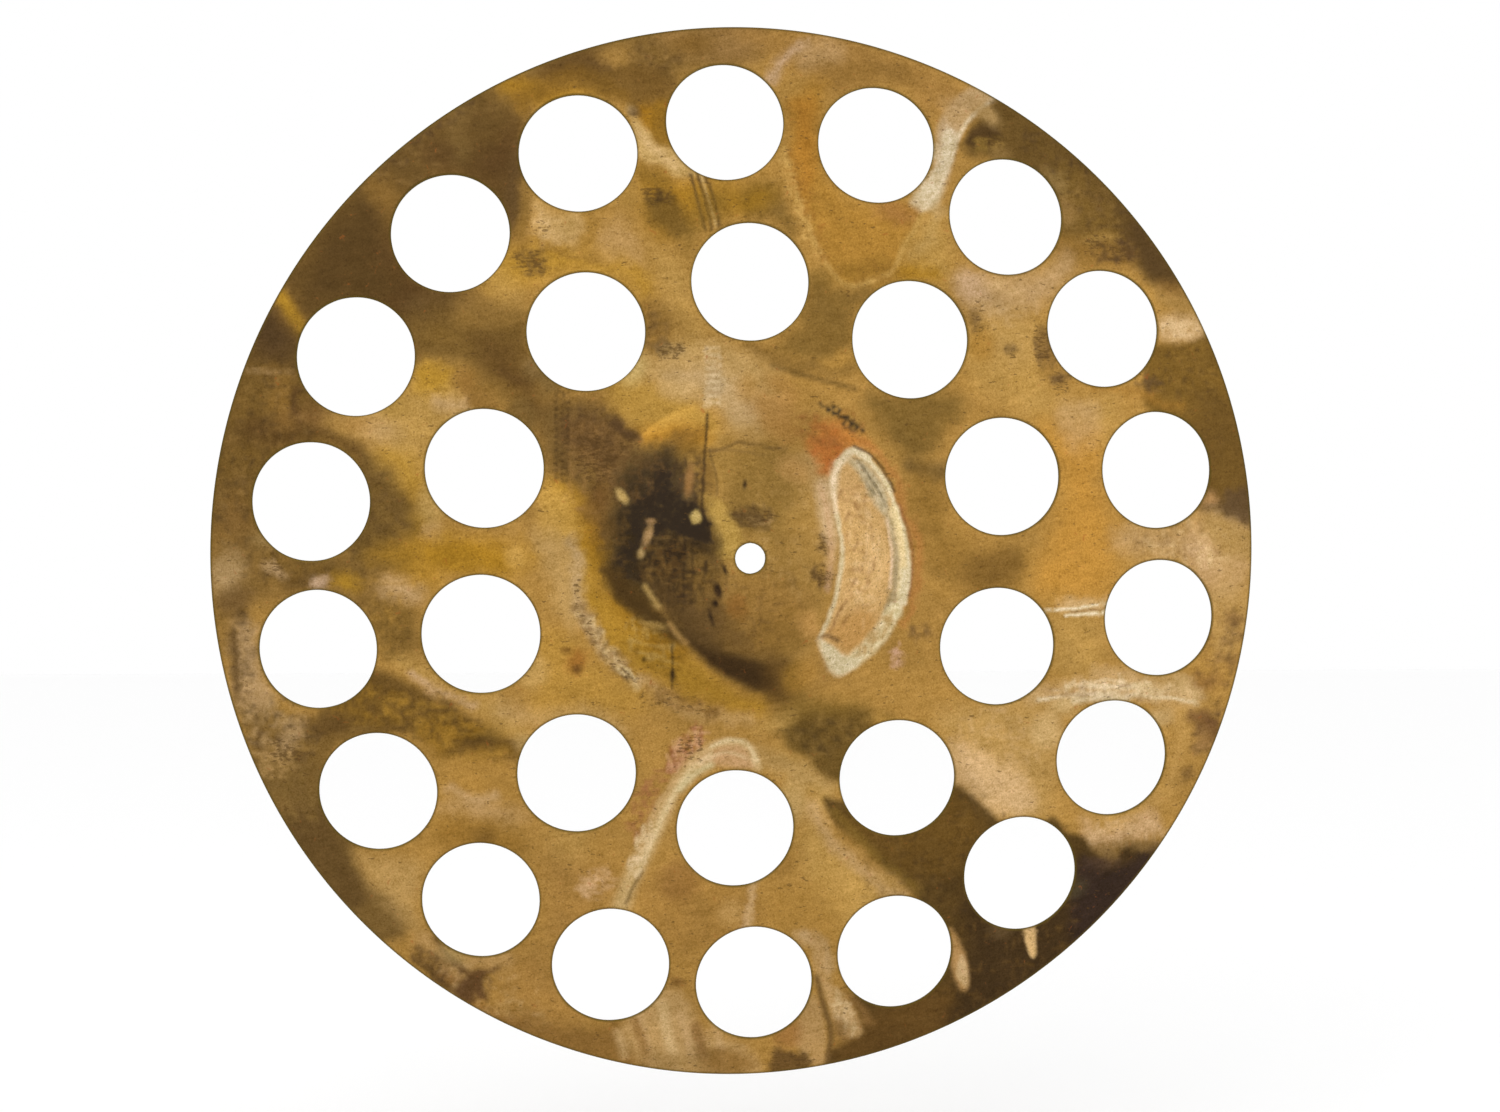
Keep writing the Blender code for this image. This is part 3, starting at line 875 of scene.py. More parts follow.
def mottled_left(p):
    """Mottled pink and olive towards the rim, lower left."""
    p.pool((128, 98, 50), 0.85, 3, (-92, -28), (-84, -30), (-76, -32), (-84, -50), (-92, -40), (-96, -28))
    p.pool(UMBER, 0.6, 2, (-82, -31), (-76, -30), (-74, -33), (-79, -35))
    p.pool(HAZE, 0.55, 1.2, (-86, -31), (-82, -31), (-84, -36), (-88, -38))
    p.dab(UMBER, 0.55, 1.2, -91, -34, 1.6, 3, 10)
    p.dab(UMBER, 0.5, 1, -87, -38, 2, 1.5)
    p.hatch((184, 150, 100), 0.55, 90, -88, -33, 6, 7, 52)
    p.hatch((84, 62, 36), 0.6, 110, -87, -35, 8, 8, 53)
    p.hatch((96, 72, 40), 0.6, 60, -94, -20, 2.4, 10, 54)
    p.hatch((98, 74, 40), 0.5, 90, -82, -2, 14, 4, 55)


def umber_lower_left(p):
    """The umber band down the rim, lower left."""
    p.patch((118, 90, 46), 0.9, 1.6, (-96, -41), (-80, -39), (-72, -50), (-73, -57), (-70, -62), (-65, -66),
            (-64, -73), (-76, -72), (-90, -56))
    p.pool((96, 71, 36), 0.7, 2.2, (-86, -50), (-78, -49), (-71, -64), (-76, -68), (-84, -58))
    p.hatch((134, 104, 54), 0.5, 110, -85, -45, 5, 8, 101, lean=20)
    p.hatch((176, 140, 86), 0.5, 50, -88, -39, 4, 3.4, 104)
    p.streak((124, 94, 46), 0.8, 2.4, 1.4, (-80.6, -43), (-79, -38), (-75, -34.6), (-71, -33))


def tan_lower_left(p):
    """Tan and orange, lower left, and the pale streaks at the bottom of the rim."""
    p.pool((180, 144, 86), 0.75, 2.5, (-72, -57), (-66, -58), (-61, -58), (-61, -66), (-62, -72),
           (-68, -65))
    p.pool((170, 128, 60), 0.6, 4, (-57, -40), (-46, -38), (-42, -44), (-60, -54))
    p.streak(HAZE, 0.7, 1.8, 1.2, (-56, -44), (-52, -46), (-48, -45.5))
    p.dab(HAZE, 0.5, 2, -50, -48, 8, 1.4, -6)
    p.pool((144, 106, 44), 0.85, 2, (-57, -51), (-49, -50), (-43, -52.5), (-42, -56), (-57, -55))
    p.dab(UMBER, 0.5, 1.2, -49, -52.5, 2, 1)
    p.pool((160, 120, 62), 0.6, 4, (-36, -56), (-22, -64), (-46, -80), (-38, -90), (-30, -88), (-36, -78))
    p.streak((176, 140, 88), 0.7, 3, 2, (-60, -74), (-54, -79), (-50, -77), (-45, -77))
    p.streak((146, 104, 54), 0.7, 3, 1.5, (-56, -80), (-50, -86), (-42, -90))
    p.line((104, 76, 38), 0.85, 1.4, 0.7, (-61.5, -77), (-58, -79.8), (-55, -82.4), (-53, -83.6))
    p.line((96, 68, 36), 0.8, 0.6, 0.5, (-58, -73), (-55, -76.5), (-52, -79), (-50.5, -81))
    p.hatch((94, 68, 38), 0.7, 60, -57, -79, 6, 3, 63, lean=-38)
    p.hatch((98, 68, 38), 0.7, 40, -50, -82, 3, 3.6, 64, lean=-30)
    p.hatch((190, 154, 100), 0.5, 80, -46, -84, 12, 5, 65, lean=-30)
    p.patch((100, 70, 38), 0.9, 0.7, (-52.6, -81), (-51, -79.4), (-48.4, -79), (-48.6, -82), (-47.6, -85),
            (-50, -84), (-52, -85), (-54, -83.4))
    p.line((112, 80, 42), 0.8, 0.9, 0.5, (-55.6, -76.4), (-52.6, -79), (-50, -80), (-46, -78.4))
    p.pool((134, 98, 48), 0.8, 2.5, (-42, -88), (-30, -90), (-22, -90), (-20, -101), (-44, -92))
    p.pool((182, 146, 92), 0.9, 1.6, (-22, -91), (-16, -84), (-10, -84), (-7, -91), (1, -94), (4, -101),
           (-12, -101), (-20, -96))
    for x in (-19, -14.5, -11, -5):
        p.line((200, 164, 114), 0.6, 1.2, 0.9, (x, -88), (x + 1.2, -92), (x + 2.6, -98))
    p.line((146, 108, 56), 0.8, 1.8, 0.8, (-19.6, -89.6), (-18, -94), (-17.4, -98))
    p.line((206, 174, 122), 0.6, 2, 1, (-14.4, -86), (-13.4, -92), (-11, -98.6))
    p.line((200, 166, 114), 0.6, 1.4, 0.9, (-23, -91.4), (-21.6, -96))
    p.line((138, 101, 54), 0.8, 2, 1, (-8, -90.4), (-6.6, -95), (-6, -99))
    p.pool((142, 105, 50), 0.85, 1.4, (-5, -94.6), (2, -96.4), (3, -100), (-5, -100))
    p.pool((160, 126, 74), 0.7, 1.4, (-19, -96), (-7, -97), (-6, -101), (-18, -100))
    p.pool((158, 118, 58), 0.6, 3, (-20, -61), (2, -64), (4, -70), (-13, -76))
    p.dab((140, 100, 50), 0.6, 2, -12, -62, 4, 4)
    p.dab((120, 84, 40), 0.8, 0.9, -12, -81.5, 1.4, 1)
    p.dab((180, 143, 78), 0.5, 3, -33, -53, 4, 5)


def straw_bottom(p):
    """The straw field beside the bottom inner hole."""
    p.pool(STRAW, 0.8, 2.5, (6, -36), (17, -44), (16, -50), (22, -58), (31, -65), (19, -72), (12, -58),
           (12, -46))
    p.streak(HAZE, 0.65, 2.2, 1.6, (13, -48), (20, -56), (31, -65))
    p.pool((164, 124, 58), 0.6, 3, (14, -62), (20, -68), (17, -76), (6, -68))
    p.streak(PINK, 0.6, 1.3, 0.9, (3.6, -62.5), (2.6, -66), (1, -70.5))
    p.dab(BROWN, 0.6, 1, 9, -59, 2.5, 1, 20)


def pink_right(p):
    """The pinkish field right of the inner ring."""
    p.pool((182, 146, 86), 0.65, 4, (38, -30), (48, -28), (58, -30), (60, -48), (50, -50), (41, -36))
    p.pool((202, 166, 118), 0.8, 2.5, (41, -36), (47, -38), (54, -42), (56, -48), (49, -49), (45, -45),
           (41, -42))
    p.pool(STRAW, 0.6, 3, (60, -12), (69, -12), (70, -20), (66, -24), (60, -22))
    p.pool((186, 146, 82), 0.6, 3, (84, -26), (90, -30), (84, -48), (76, -55), (70, -54), (66, -50),
           (80, -46), (84, -38))
    p.pool(PINK, 0.45, 2, (66, -51), (72, -53), (80, -50), (82, -54), (74, -56), (68, -56))


def spots_right(p):
    """Brown spots and mottling towards the rim, lower right."""
    p.pool((182, 145, 86), 0.55, 2.4, (92, -6), (100, -8), (99, -18), (92.6, -20))
    p.dab((128, 90, 50), 0.6, 1, 97, -13, 1.4, 0.9)
    p.dab((140, 100, 52), 0.7, 1.4, 90, -25, 3, 1.2, 10)
    p.hatch((104, 76, 44), 0.7, 80, 91.6, -34, 2.4, 6, 72, lean=-24)
    p.hatch((112, 82, 46), 0.6, 60, 96, -18, 2, 8, 73, lean=-10)
    p.hatch((122, 88, 46), 0.6, 60, 93, -20, 4, 10, 96, lean=-14)
    p.hatch((202, 166, 118), 0.5, 90, 76, -54, 9, 3.4, 74)
    p.hatch((198, 162, 112), 0.5, 110, 48, -38, 9, 9, 75)
    p.hatch((116, 86, 48), 0.6, 26, 33.6, -14.6, 2.4, 1.2, 76)
    p.hatch((198, 156, 120), 0.7, 24, 29, -18.6, 1, 3, 77)
    p.pool((112, 78, 44), 0.85, 1.3, (88, -30), (94, -33), (92, -37.5), (90.5, -34), (88, -32))
    p.dab((120, 88, 48), 0.7, 1, 88.5, -43.5, 1.4, 1.2, 60)


def umber_lower_right(p):
    """The olive wedge beside the bell, and the great umber zone."""
    p.pool((174, 140, 84), 0.7, 1.6, (4, -36), (17, -43), (16, -46), (4, -40))
    p.pool((116, 90, 42), 0.8, 2.2, (5, -29.5), (12, -27.6), (12, -37), (6.6, -34))
    p.patch((108, 82, 36), 0.92, 1.2, (9.6, -31.4), (15, -28.4), (24, -29), (29, -31), (22, -36), (19, -42),
            (17.6, -43), (14, -40.6), (11.4, -37.4), (8.4, -36))
    p.hatch((80, 60, 30), 0.6, 70, 15, -33.6, 7, 4, 66)
    p.hatch((142, 110, 56), 0.5, 40, 15, -33.6, 7, 4, 67)
    p.dab((178, 137, 68), 0.8, 1.2, 27, -31.2, 2.6, 1.4, -10)
    p.pool((128, 98, 42), 0.7, 2, (4, -24), (24, -28), (16, -30), (8, -29))
    p.patch((88, 65, 29), 0.98, 0.9, (15.4, -46.2), (19, -46.6), (26, -45), (40, -43.5), (49.5, -50.5),
            (54, -56), (60, -50.5), (63.5, -53.4), (67, -54.6), (70, -58.6), (73, -59.9), (74.6, -57),
            (78, -56.2), (84, -57), (94, -58), (30, -106), (17.6, -103), (18, -96), (23.4, -93.4),
            (24.2, -90.6), (21.8, -85), (26, -82), (38.4, -72), (35, -67.4), (31.6, -62.8), (27, -58.4),
            (22.4, -54.2), (17.8, -50.8))
    p.pool((70, 51, 27), 0.8, 3, (44, -66), (56, -66), (66, -58), (84, -58), (74, -72), (60, -84),
           (40, -92), (44, -80))
    p.pool((60, 44, 34), 0.85, 1.6, (66, -60), (72, -61.5), (84, -57), (66, -76))
    p.pool((106, 76, 34), 0.8, 2.5, (22, -90), (38, -84), (42, -86), (38, -94), (26, -97), (19, -98))
    p.pool((112, 82, 34), 0.9, 2.5, (19, -49), (27, -58), (36, -62), (44, -58), (46, -50), (40, -44),
           (30, -50))
    p.line((130, 100, 42), 0.75, 1.6, 1, (17.8, -48.6), (25.6, -57), (30.4, -60.8), (34.4, -64.4))
    p.pool((140, 104, 56), 0.8, 1, (20.6, -83), (25, -88), (26, -91), (24, -91), (22, -87))
    p.pool((188, 156, 110), 0.8, 1.2, (10.6, -72.4), (15, -73), (18, -77), (18.4, -81), (16, -81),
           (14.4, -77))
    p.hatch((66, 48, 26), 0.6, 220, 44, -66, 16, 24, 68, lean=20)
    p.hatch((122, 92, 46), 0.5, 150, 36, -58, 14, 12, 69, lean=40)
    p.hatch((116, 86, 42), 0.45, 150, 46, -80, 24, 9, 70, lean=32)
    p.dab((96, 72, 52), 0.6, 1.2, 70, -60.4, 3, 1, 10)
    p.dab((140, 108, 60), 0.7, 1, 79.4, -57, 3, 1.2, -5)


def touches_lower_right(p):
    """Lighter and darker patches, lower right."""
    p.touches(
        ((160, 122, 70), 90.6, -36.4, 1.8, 2.6, -20), ((200, 166, 112), 58.7, -33.6, 3, 3.4),
        ((188, 155, 98), 9.4, -46.6, 2.6, 4),
    )


def bare_lower_right(p):
    """The pale metal that shows through the umber zone."""
    p.patch((176, 136, 82), 0.95, 0.7, (40.6, -71.6), (42.6, -74.6), (44.6, -79.6), (44.8, -83.6),
            (43.4, -84), (41.8, -81), (41, -77))
    p.patch((196, 164, 116), 0.8, 0.5, (43, -77), (44.7, -80.4), (44.4, -83.6), (42.4, -81))
    p.patch((206, 168, 112), 1, 0.4, (55.4, -71), (57.4, -71), (58, -77), (57.3, -78), (55.8, -75))
    p.patch((180, 144, 92), 0.95, 0.7, (15.6, -80), (18, -82.4), (20.6, -85), (22.6, -88.4), (24, -92.4),
            (21, -93), (18.4, -89.6), (16.6, -84.6))
    p.streak((176, 138, 82), 0.7, 2.4, 1.2, (14, -73), (15.6, -77), (16.8, -81))
    p.hatch((206, 176, 128), 0.6, 40, 20.6, -88, 1.6, 5, 71, lean=25)
    p.patch((172, 136, 84), 0.9, 0.9, (13.5, -85), (15.5, -86), (17, -92), (17, -98), (14, -98), (11, -93))
    p.line((110, 82, 44), 0.85, 1.2, 0.6, (15, -81), (16.5, -87), (18, -92), (17.6, -98))
    p.dab((140, 106, 60), 0.6, 0.8, 19.4, -91, 1.2, 2, 25)
    p.pool((98, 71, 36), 0.85, 0.9, (6.8, -95.6), (10, -96), (14.2, -97.6), (12, -101), (7, -101))
    p.dab((150, 104, 56), 0.6, 1.5, 9.5, -92.5, 2.5, 2.5)


def scratches(p):
    """Level scratches and scuffs between the two rings, right, and below them a level band of painted
    highlight.
    """
    pale, chalk = (200, 166, 116), (230, 212, 176)
    p.streak(pale, 0.7, 2.2, 1.2, (62, -10), (70, -9.8))
    p.line(chalk, 0.9, 0.35, 0.35, (58, -10.6), (63, -10.2), (71, -9.2))
    p.line(chalk, 0.9, 0.4, 0.35, (62, -11.5), (66, -11.2), (71, -11))
    p.line((120, 88, 52), 0.7, 0.3, 0.3, (63, -10.8), (71, -10.2))
    # painted highlight: the pale level band and its fine marks
    p.streak(pale, 0.6, 3, 1.6, (56, -27), (66, -26), (76, -25.6), (88, -27.4))
    p.streak(pale, 0.5, 2, 1.4, (68, -23), (76, -23.6))
    p.line(chalk, 0.55, 0.6, 0.5, (57, -27.6), (66, -26.8), (72, -26.4))
    p.line(chalk, 0.55, 0.7, 0.6, (67, -25.2), (75, -25.4), (82, -26.4))
    p.line(chalk, 0.6, 0.5, 0.5, (76, -26.8), (84, -27.6), (89, -28.8))
    p.hatch((216, 190, 148), 0.7, 90, 72, -25.6, 12, 1.6, 78)
    p.hatch((140, 106, 62), 0.6, 60, 72, -26.4, 14, 1.6, 79)
    p.streak((200, 168, 116), 0.6, 2.6, 1.4, (78, -25.4), (84, -25), (88, -26.6))
    p.dab((198, 168, 116), 0.7, 1.4, 61.7, -29.4, 2.4, 1.4)
    p.dab((196, 164, 112), 0.6, 1.6, 81, -31.4, 3, 2, 20)
    p.line((214, 194, 156), 0.6, 1.2, 0.7, (64, -28), (70, -27.5), (75, -27.4))


def bell_ground_and_shading(p):
    """The bell's ground, with painted shade on its lower left and a painted highlight on its right."""
    p.pool((158, 122, 62), 0.9, 3, (-14, 19), (12, 20), (16.5, 0), (8, -20), (-12, -14))
    p.pool((140, 108, 52), 0.7, 3, (-7, 20), (6, 20), (10, 12), (4, 4), (-2, 6), (-5, 14))
    # painted shade: the bell's lower left darker
    p.pool((118, 88, 44), 0.9, 3, (-18, 2), (-8, 2), (-4, -6), (0, -14), (2, -19), (-6, -18), (-14, -12))
    p.pool((148, 110, 54), 0.6, 3, (-2, -3), (6, -4), (12, -10), (3, -17), (-2, -11))
    p.pool((134, 100, 44), 0.6, 2.5, (2, -12), (10, -10), (11, -16), (4, -18))
    # painted highlight: the bell's right side lighter
    p.pool((184, 150, 100), 0.6, 2.4, (10, 19), (16, 16), (16.5, -2), (14, 2), (13, 10))
    p.patch((182, 146, 74), 0.92, 1, (-8.4, 12), (-5, 10.5), (-3, 7.5), (-1.6, 3), (-4, 0), (-6.5, 1.5),
            (-7.4, 6))


def bell_foot(p):
    """Gold round the bell's left foot."""
    p.pool((172, 130, 44), 0.85, 2.5, (-37, 12), (-31, 12), (-29, 4), (-15, -15), (-5, -23), (4, -27),
           (-2, -29), (-26, -17))
    p.pool((154, 112, 32), 0.8, 1.6, (-32, 12), (-22, -7), (-12, -16), (-14, -20), (-24, -12), (-29, -2),
           (-32, 5))
    p.pool((192, 150, 74), 0.8, 2, (-38, 12), (-33, 10), (-32, 4), (-38, 4))
    p.pool((186, 150, 92), 0.7, 2.2, (-40, 4), (-34, 4), (-31, -3), (-30, -10), (-33, -14), (-38, -2))
    p.streak((186, 154, 108), 0.75, 2, 1.2, (-33, 3), (-31.5, -6), (-29.5, -13), (-25, -19.5), (-21, -24))
    p.streak((186, 152, 102), 0.4, 2.4, 1.4, (-22, -23), (-16, -27), (-8, -30), (0, -30.6))
    p.hatch((206, 176, 124), 0.7, 60, -26, -17.4, 1.2, 10, 82, lean=36)
    p.hatch((124, 94, 54), 0.7, 50, -27, -16, 1.6, 11, 83, lean=34)
    p.hatch((136, 100, 50), 0.7, 60, -12, -27.6, 8, 1.6, 84, lean=-20)
    p.pool((178, 136, 58), 0.6, 3, (-38, -14), (-27, -21), (-20, -27), (-24, -31), (-40, -30))
    p.pool((164, 124, 44), 0.6, 2, (-22, -18), (-6, -24), (-8, -27), (-16, -24))
    p.dab((150, 98, 40), 0.75, 1.3, -31.5, -20.5, 2.4, 1.8, 30)
    p.spot((84, 54, 24), 0.8, 0.6, -31.6, -21.4, 0.9, 0.7)
    p.spot((110, 72, 30), 0.8, 0.5, -33.8, -17.9, 0.8, 0.5)
    p.streak((182, 148, 96), 0.5, 3, 2, (-46, -29), (-38, -31), (-30, -30), (-24, -33))
    p.dab((196, 157, 92), 0.7, 1.4, -40.4, -22, 2.4, 2.6)


def above_bell(p):
    """Gold and haze above the bell."""
    p.pool((178, 138, 64), 0.9, 2, (-25, 32), (-18, 33), (-6, 25), (-9, 20), (-16, 20), (-24, 28))
    p.pool((170, 122, 42), 0.8, 2, (-21, 24), (-16, 25), (-9, 24), (-8, 20), (-20, 21))
    p.pool((184, 149, 92), 0.8, 2.5, (-20, 35), (-12, 40), (-6, 41), (8, 33), (6, 25), (-2, 23), (-6, 28),
           (-14, 31))
    p.pool((192, 160, 114), 0.55, 2, (-15, 34), (-6, 35), (2, 31), (2, 25), (-3, 26), (-8, 31))
    p.dab((128, 94, 42), 0.7, 1.6, -12, 22, 3.4, 1.8, 15)
    p.dab((206, 180, 136), 0.6, 0.9, -6, 32, 1.8, 2.4)
    for x in (-7.6, -6.8, -6, -5.1):
        p.line((208, 180, 136), 0.7, 0.4, 0.3, (x, 39), (x + 0.2, 34), (x + 0.1, 28))
        p.line((150, 116, 70), 0.5, 0.3, 0.3, (x + 0.4, 38), (x + 0.5, 30))
    p.pool((166, 122, 62), 0.7, 2, (2, 30), (10, 31), (8, 22), (3, 24))
    p.touches(
        ((154, 112, 52), 6.4, 32.4, 3, 1.6, -20), ((172, 130, 66), 0.4, 31.6, 2, 2.4),
    )


def left_of_bell(p):
    """The umber spread left of the bell."""
    p.pool((126, 96, 50), 0.9, 2.2, (-37, 28), (-27, 28), (-23, 25), (-20, 20), (-14, 20), (-26, 4),
           (-33, 14), (-38, 16))
    p.pool((108, 78, 44), 0.7, 2, (-33, 26), (-26, 26), (-22, 21), (-24, 14), (-34, 21))
    p.patch((84, 60, 36), 0.8, 0.8, (-24, 26.4), (-22.4, 24), (-20, 23), (-20, 21.6), (-22.6, 22),
            (-25.4, 25))
    p.pool((128, 92, 40), 0.7, 1.4, (-31, 12), (-25, 6), (-27, 2), (-30, 5))
    p.hatch((88, 64, 36), 0.5, 110, -28, 20, 7, 9, 5, lean=25)
    p.hatch((152, 114, 64), 0.55, 90, -29, 17, 8, 9, 6)
    p.dab((118, 93, 51), 0.75, 1.6, -36.6, 33, 2.4, 2.4)
    for x in (-35.4, -34.2, -33.3):
        p.line((70, 50, 26), 0.7, 0.4, 0.35, (x, 31), (x - 0.1, 24), (x - 0.4, 14))


def bell_stain_and_shade(p):
    """Dark stain and painted shade on the bell's left shoulder, nearly black at its middle."""
    p.pool((88, 68, 36), 0.93, 2.6, (-27.5, 2), (-25, 8), (-25, 15), (-21, 21), (-14, 21), (-11.5, 18),
           (-9.6, 13), (-7, 4), (-8, -3), (-18, -9), (-23, -8), (-26, -4))
    p.pool((62, 48, 30), 0.9, 2, (-26, -4), (-25.6, 4), (-24, 12), (-20, 18), (-15, 19.5), (-13, 15),
           (-10, 12), (-7.4, 6), (-7, 3), (-12, 2), (-23, -6))
    # the near-black middle is a soot film that also stands for painted shade on the bell's left side
    p.pool("soot_and_shade", 0.7, 1.8, (-22.5, 2), (-22, 9), (-19.6, 12), (-18, 17), (-15, 17), (-13.5, 12),
           (-11, 11), (-8.6, 10), (-7.2, 5), (-7, 3.4), (-12, 3.8), (-16, 4), (-19.5, 1.5))
    p.pool("soot_and_shade", 0.5, 2, (-25.6, 1), (-22, 3), (-20.6, -3), (-24, -5))
    p.pool((84, 63, 34), 0.85, 2.4, (-19, 4), (-8, 4), (-7.6, -1), (-13, -9), (-20, -3))
    p.pool((104, 78, 42), 0.8, 2, (-17, -8), (-9, -4), (-5, -9), (-6, -14), (-10, -14.6))
    p.hatch((60, 46, 28), 0.7, 90, -14, 1, 6, 3.6, 85)
    p.hatch((132, 100, 52), 0.6, 60, -15, 0, 6, 5, 86)
    p.hatch((92, 72, 42), 0.6, 90, -16, 10, 6, 7, 87)
    p.pool((134, 102, 51), 0.7, 1.2, (-12, 0), (-8, 1), (-6.8, -4), (-7.6, -9), (-11, -8.4))
    p.dab((112, 82, 36), 0.7, 1.2, -8, 15.6, 1.5, 2.6, -10)
    for x in (-15, -14.1, -13.3, -12.4, -10.9):
        p.line((62, 46, 26), 0.75, 0.4, 0.35, (x, 3), (x, -2), (x - 0.2, -8.5))
    p.hatch((104, 76, 42), 0.6, 90, -21, 15, 6, 6, 7)
    p.hatch((110, 82, 42), 0.55, 60, -25, 3, 3, 8, 8)
    p.hatch((58, 42, 26), 0.6, 110, -14, -4, 7, 6, 9)
    p.hatch((126, 94, 48), 0.5, 60, -14, -6, 7, 6, 10)
    p.hatch((64, 46, 28), 0.7, 50, -11, 15, 3, 5, 11)
    for tone, *chip in (
        ((182, 150, 90), -23.5, 11.3, 0.8, 1.5, 28), ((172, 136, 88), -19, 4, 0.7, 2, -24),
        ((178, 146, 92), -20.3, 0.6, 0.6, 0.9), ((150, 116, 74), -18.4, 6.6, 0.8, 0.5),
        ((180, 152, 90), -10.2, 7.8, 1.1, 1.3), ((134, 98, 54), -11.2, 14.5, 0.7, 2.8, -8),
    ):
        p.spot(tone, 0.97, 0.5, *chip)
        p.spare("soot_and_shade", 0.6, *chip)


def bell_shade_ring(p):
    """Painted shade: the dark ring round the bell's lower left, on its shaded side."""
    p.pool((110, 82, 36), 0.85, 1.4, (-27, -2), (-16, -12), (-12, -15), (-16, -15), (-23, -10))
    p.pool((84, 61, 28), 0.8, 1.3, (-26, -2), (-18.6, -9), (-14.6, -13), (-16, -13.6), (-25.6, -6))
    p.patch((72, 51, 24), 0.95, 1.3, (-15.6, -12), (-10, -15), (-5, -17.4), (0, -18.6), (4, -20),
            (5.4, -22.6), (5, -25), (2, -25.4), (-2, -23.6), (-7, -20.6), (-12, -16))
    p.pool((62, 43, 21), 0.5, 1.6, (-8, -18), (-1, -19.6), (2, -22), (-1, -23), (-6, -21))
    p.pool((100, 72, 32), 0.8, 2, (3, -18), (8, -19), (9, -25), (4, -27))
    p.hatch((190, 156, 88), 0.6, 50, -18, -16, 6, 3.4, 88, lean=-45)
    p.hatch((130, 94, 30), 0.5, 70, -17, -17, 8, 4, 89, lean=-45)
    p.line((86, 63, 29), 0.85, 3, 1.3, (-25, -5), (-21, -9.4), (-13.6, -14.6))
    p.streak((94, 70, 37), 0.75, 3, 1.4, (-17, -6), (-14.6, -10.4), (-11, -14.4), (-6, -17))
    p.line((184, 150, 88), 0.85, 0.9, 0.6, (-19.4, -5.4), (-18.4, -7.4), (-17, -9.2))
    p.line((160, 124, 68), 0.35, 0.5, 0.5, (-17, -9.2), (-15.8, -10.8), (-14.8, -12.4))
    p.line((172, 134, 76), 0.8, 0.9, 0.6, (-14.8, -12.6), (-13.4, -14.4), (-11.6, -16))
    p.dab((186, 150, 84), 0.7, 0.9, -18.4, -13.2, 1.8, 0.7, -15)


def bell_top(p):
    """Faint arcs over the bell's top, and the dark marks beside the centre hole."""
    p.line((100, 74, 38), 0.8, 0.4, 0.4, (-8.6, 19.6), (-4, 20.6), (-1.6, 21.6), (2, 20.9), (7, 20.2))
    p.line((112, 84, 44), 0.6, 0.3, 0.4, (-7, 19.8), (-2, 20), (3, 19.2))
    p.pool((108, 82, 46), 0.8, 1.3, (-3, 9.4), (1, 9), (4, 6.6), (2.6, 5.6), (-1, 7))
    for mark in (
        (-4.8, -2, 0.4, 1, 25), (-6, -6, 0.7, 1.5, 20), (-6.4, -8.4, 0.5, 0.6), (-7.1, -11.2, 0.3, 1.4, 18),
        (-1, 13.8, 0.3, 0.7),
    ):
        p.spot((50, 35, 22), 1, 0.4, *mark)
    p.dab((136, 92, 40), 0.6, 1, -2, -9, 1.6, 2)
    p.hatch((98, 74, 40), 0.6, 70, 0.6, 8, 3.6, 2, 12)
    p.hatch((104, 77, 42), 0.6, 40, 13.8, -3.4, 2, 2.4, 13)
    p.hatch((112, 84, 44), 0.6, 24, 13.8, 2.4, 1.4, 2, 105)
    p.hatch((112, 82, 42), 0.5, 70, 2, -9, 9, 8, 14)
    p.hatch((176, 140, 84), 0.5, 60, 8, 5, 8, 12, 15)
    p.dab((184, 140, 78), 0.8, 1.2, 11.2, -13, 1.8, 2.4, 20)
    p.touches(
        ((164, 123, 50), 9.4, -22.6, 2.6, 3, -10), ((180, 138, 80), 8.4, 16.4, 3, 2.2, -25),
    )


def bell_scratches(p):
    """Fine upright scratches over the bell's left side."""
    black = (52, 37, 22)
    p.line(black, 0.95, 0.42, 0.32, (-7.5, 26.6), (-8, 21), (-8.7, 14), (-8.9, 9), (-8, 6), (-7.2, 4.4))
    p.line(black, 0.7, 0.3, 0.35, (-9.6, 13.9), (-7, 13.7))
    p.line((90, 68, 36), 0.7, 0.3, 0.35, (-7.2, 20), (-6.2, 15), (-6.2, 12))
    p.line(black, 0.85, 0.3, 0.35, (-14.1, -16.5), (-13.8, -21), (-13.8, -25))
    p.spot(black, 0.9, 0.5, -13.8, -22.4, 0.5, 1)
    p.spot((90, 66, 24), 0.9, 0.4, -19, -19.4, 0.4, 0.4)


def copper_stain(p):
    """The copper stain over the crescent's top, and its scuff."""
    p.pool((184, 118, 54), 0.8, 1.8, (11.6, 22), (17, 26), (24, 20.6), (20, 20.6), (15.4, 15.6),
           (12.6, 16.6))
    p.hatch((176, 104, 48), 0.6, 80, 14.6, 21, 3.4, 5, 16)
    p.hatch((150, 100, 50), 0.6, 60, 16, 24, 7, 4, 17)
    p.streak((176, 120, 62), 0.7, 1.4, 1, (22, 21), (26, 18), (30, 11), (32.4, 3), (32.2, -7), (30, -13))
    for x, z in (
        (15.4, 28), (16.8, 27.2), (18.2, 26.4), (19.4, 25.6), (20.4, 25.6), (19.8, 24.2), (21.4, 24.4),
        (17.4, 28),
    ):
        p.line((58, 48, 34), 0.95, 0.45, 0.3, (x - 1.1, z + 0.7), (x + 0.9, z - 0.5))


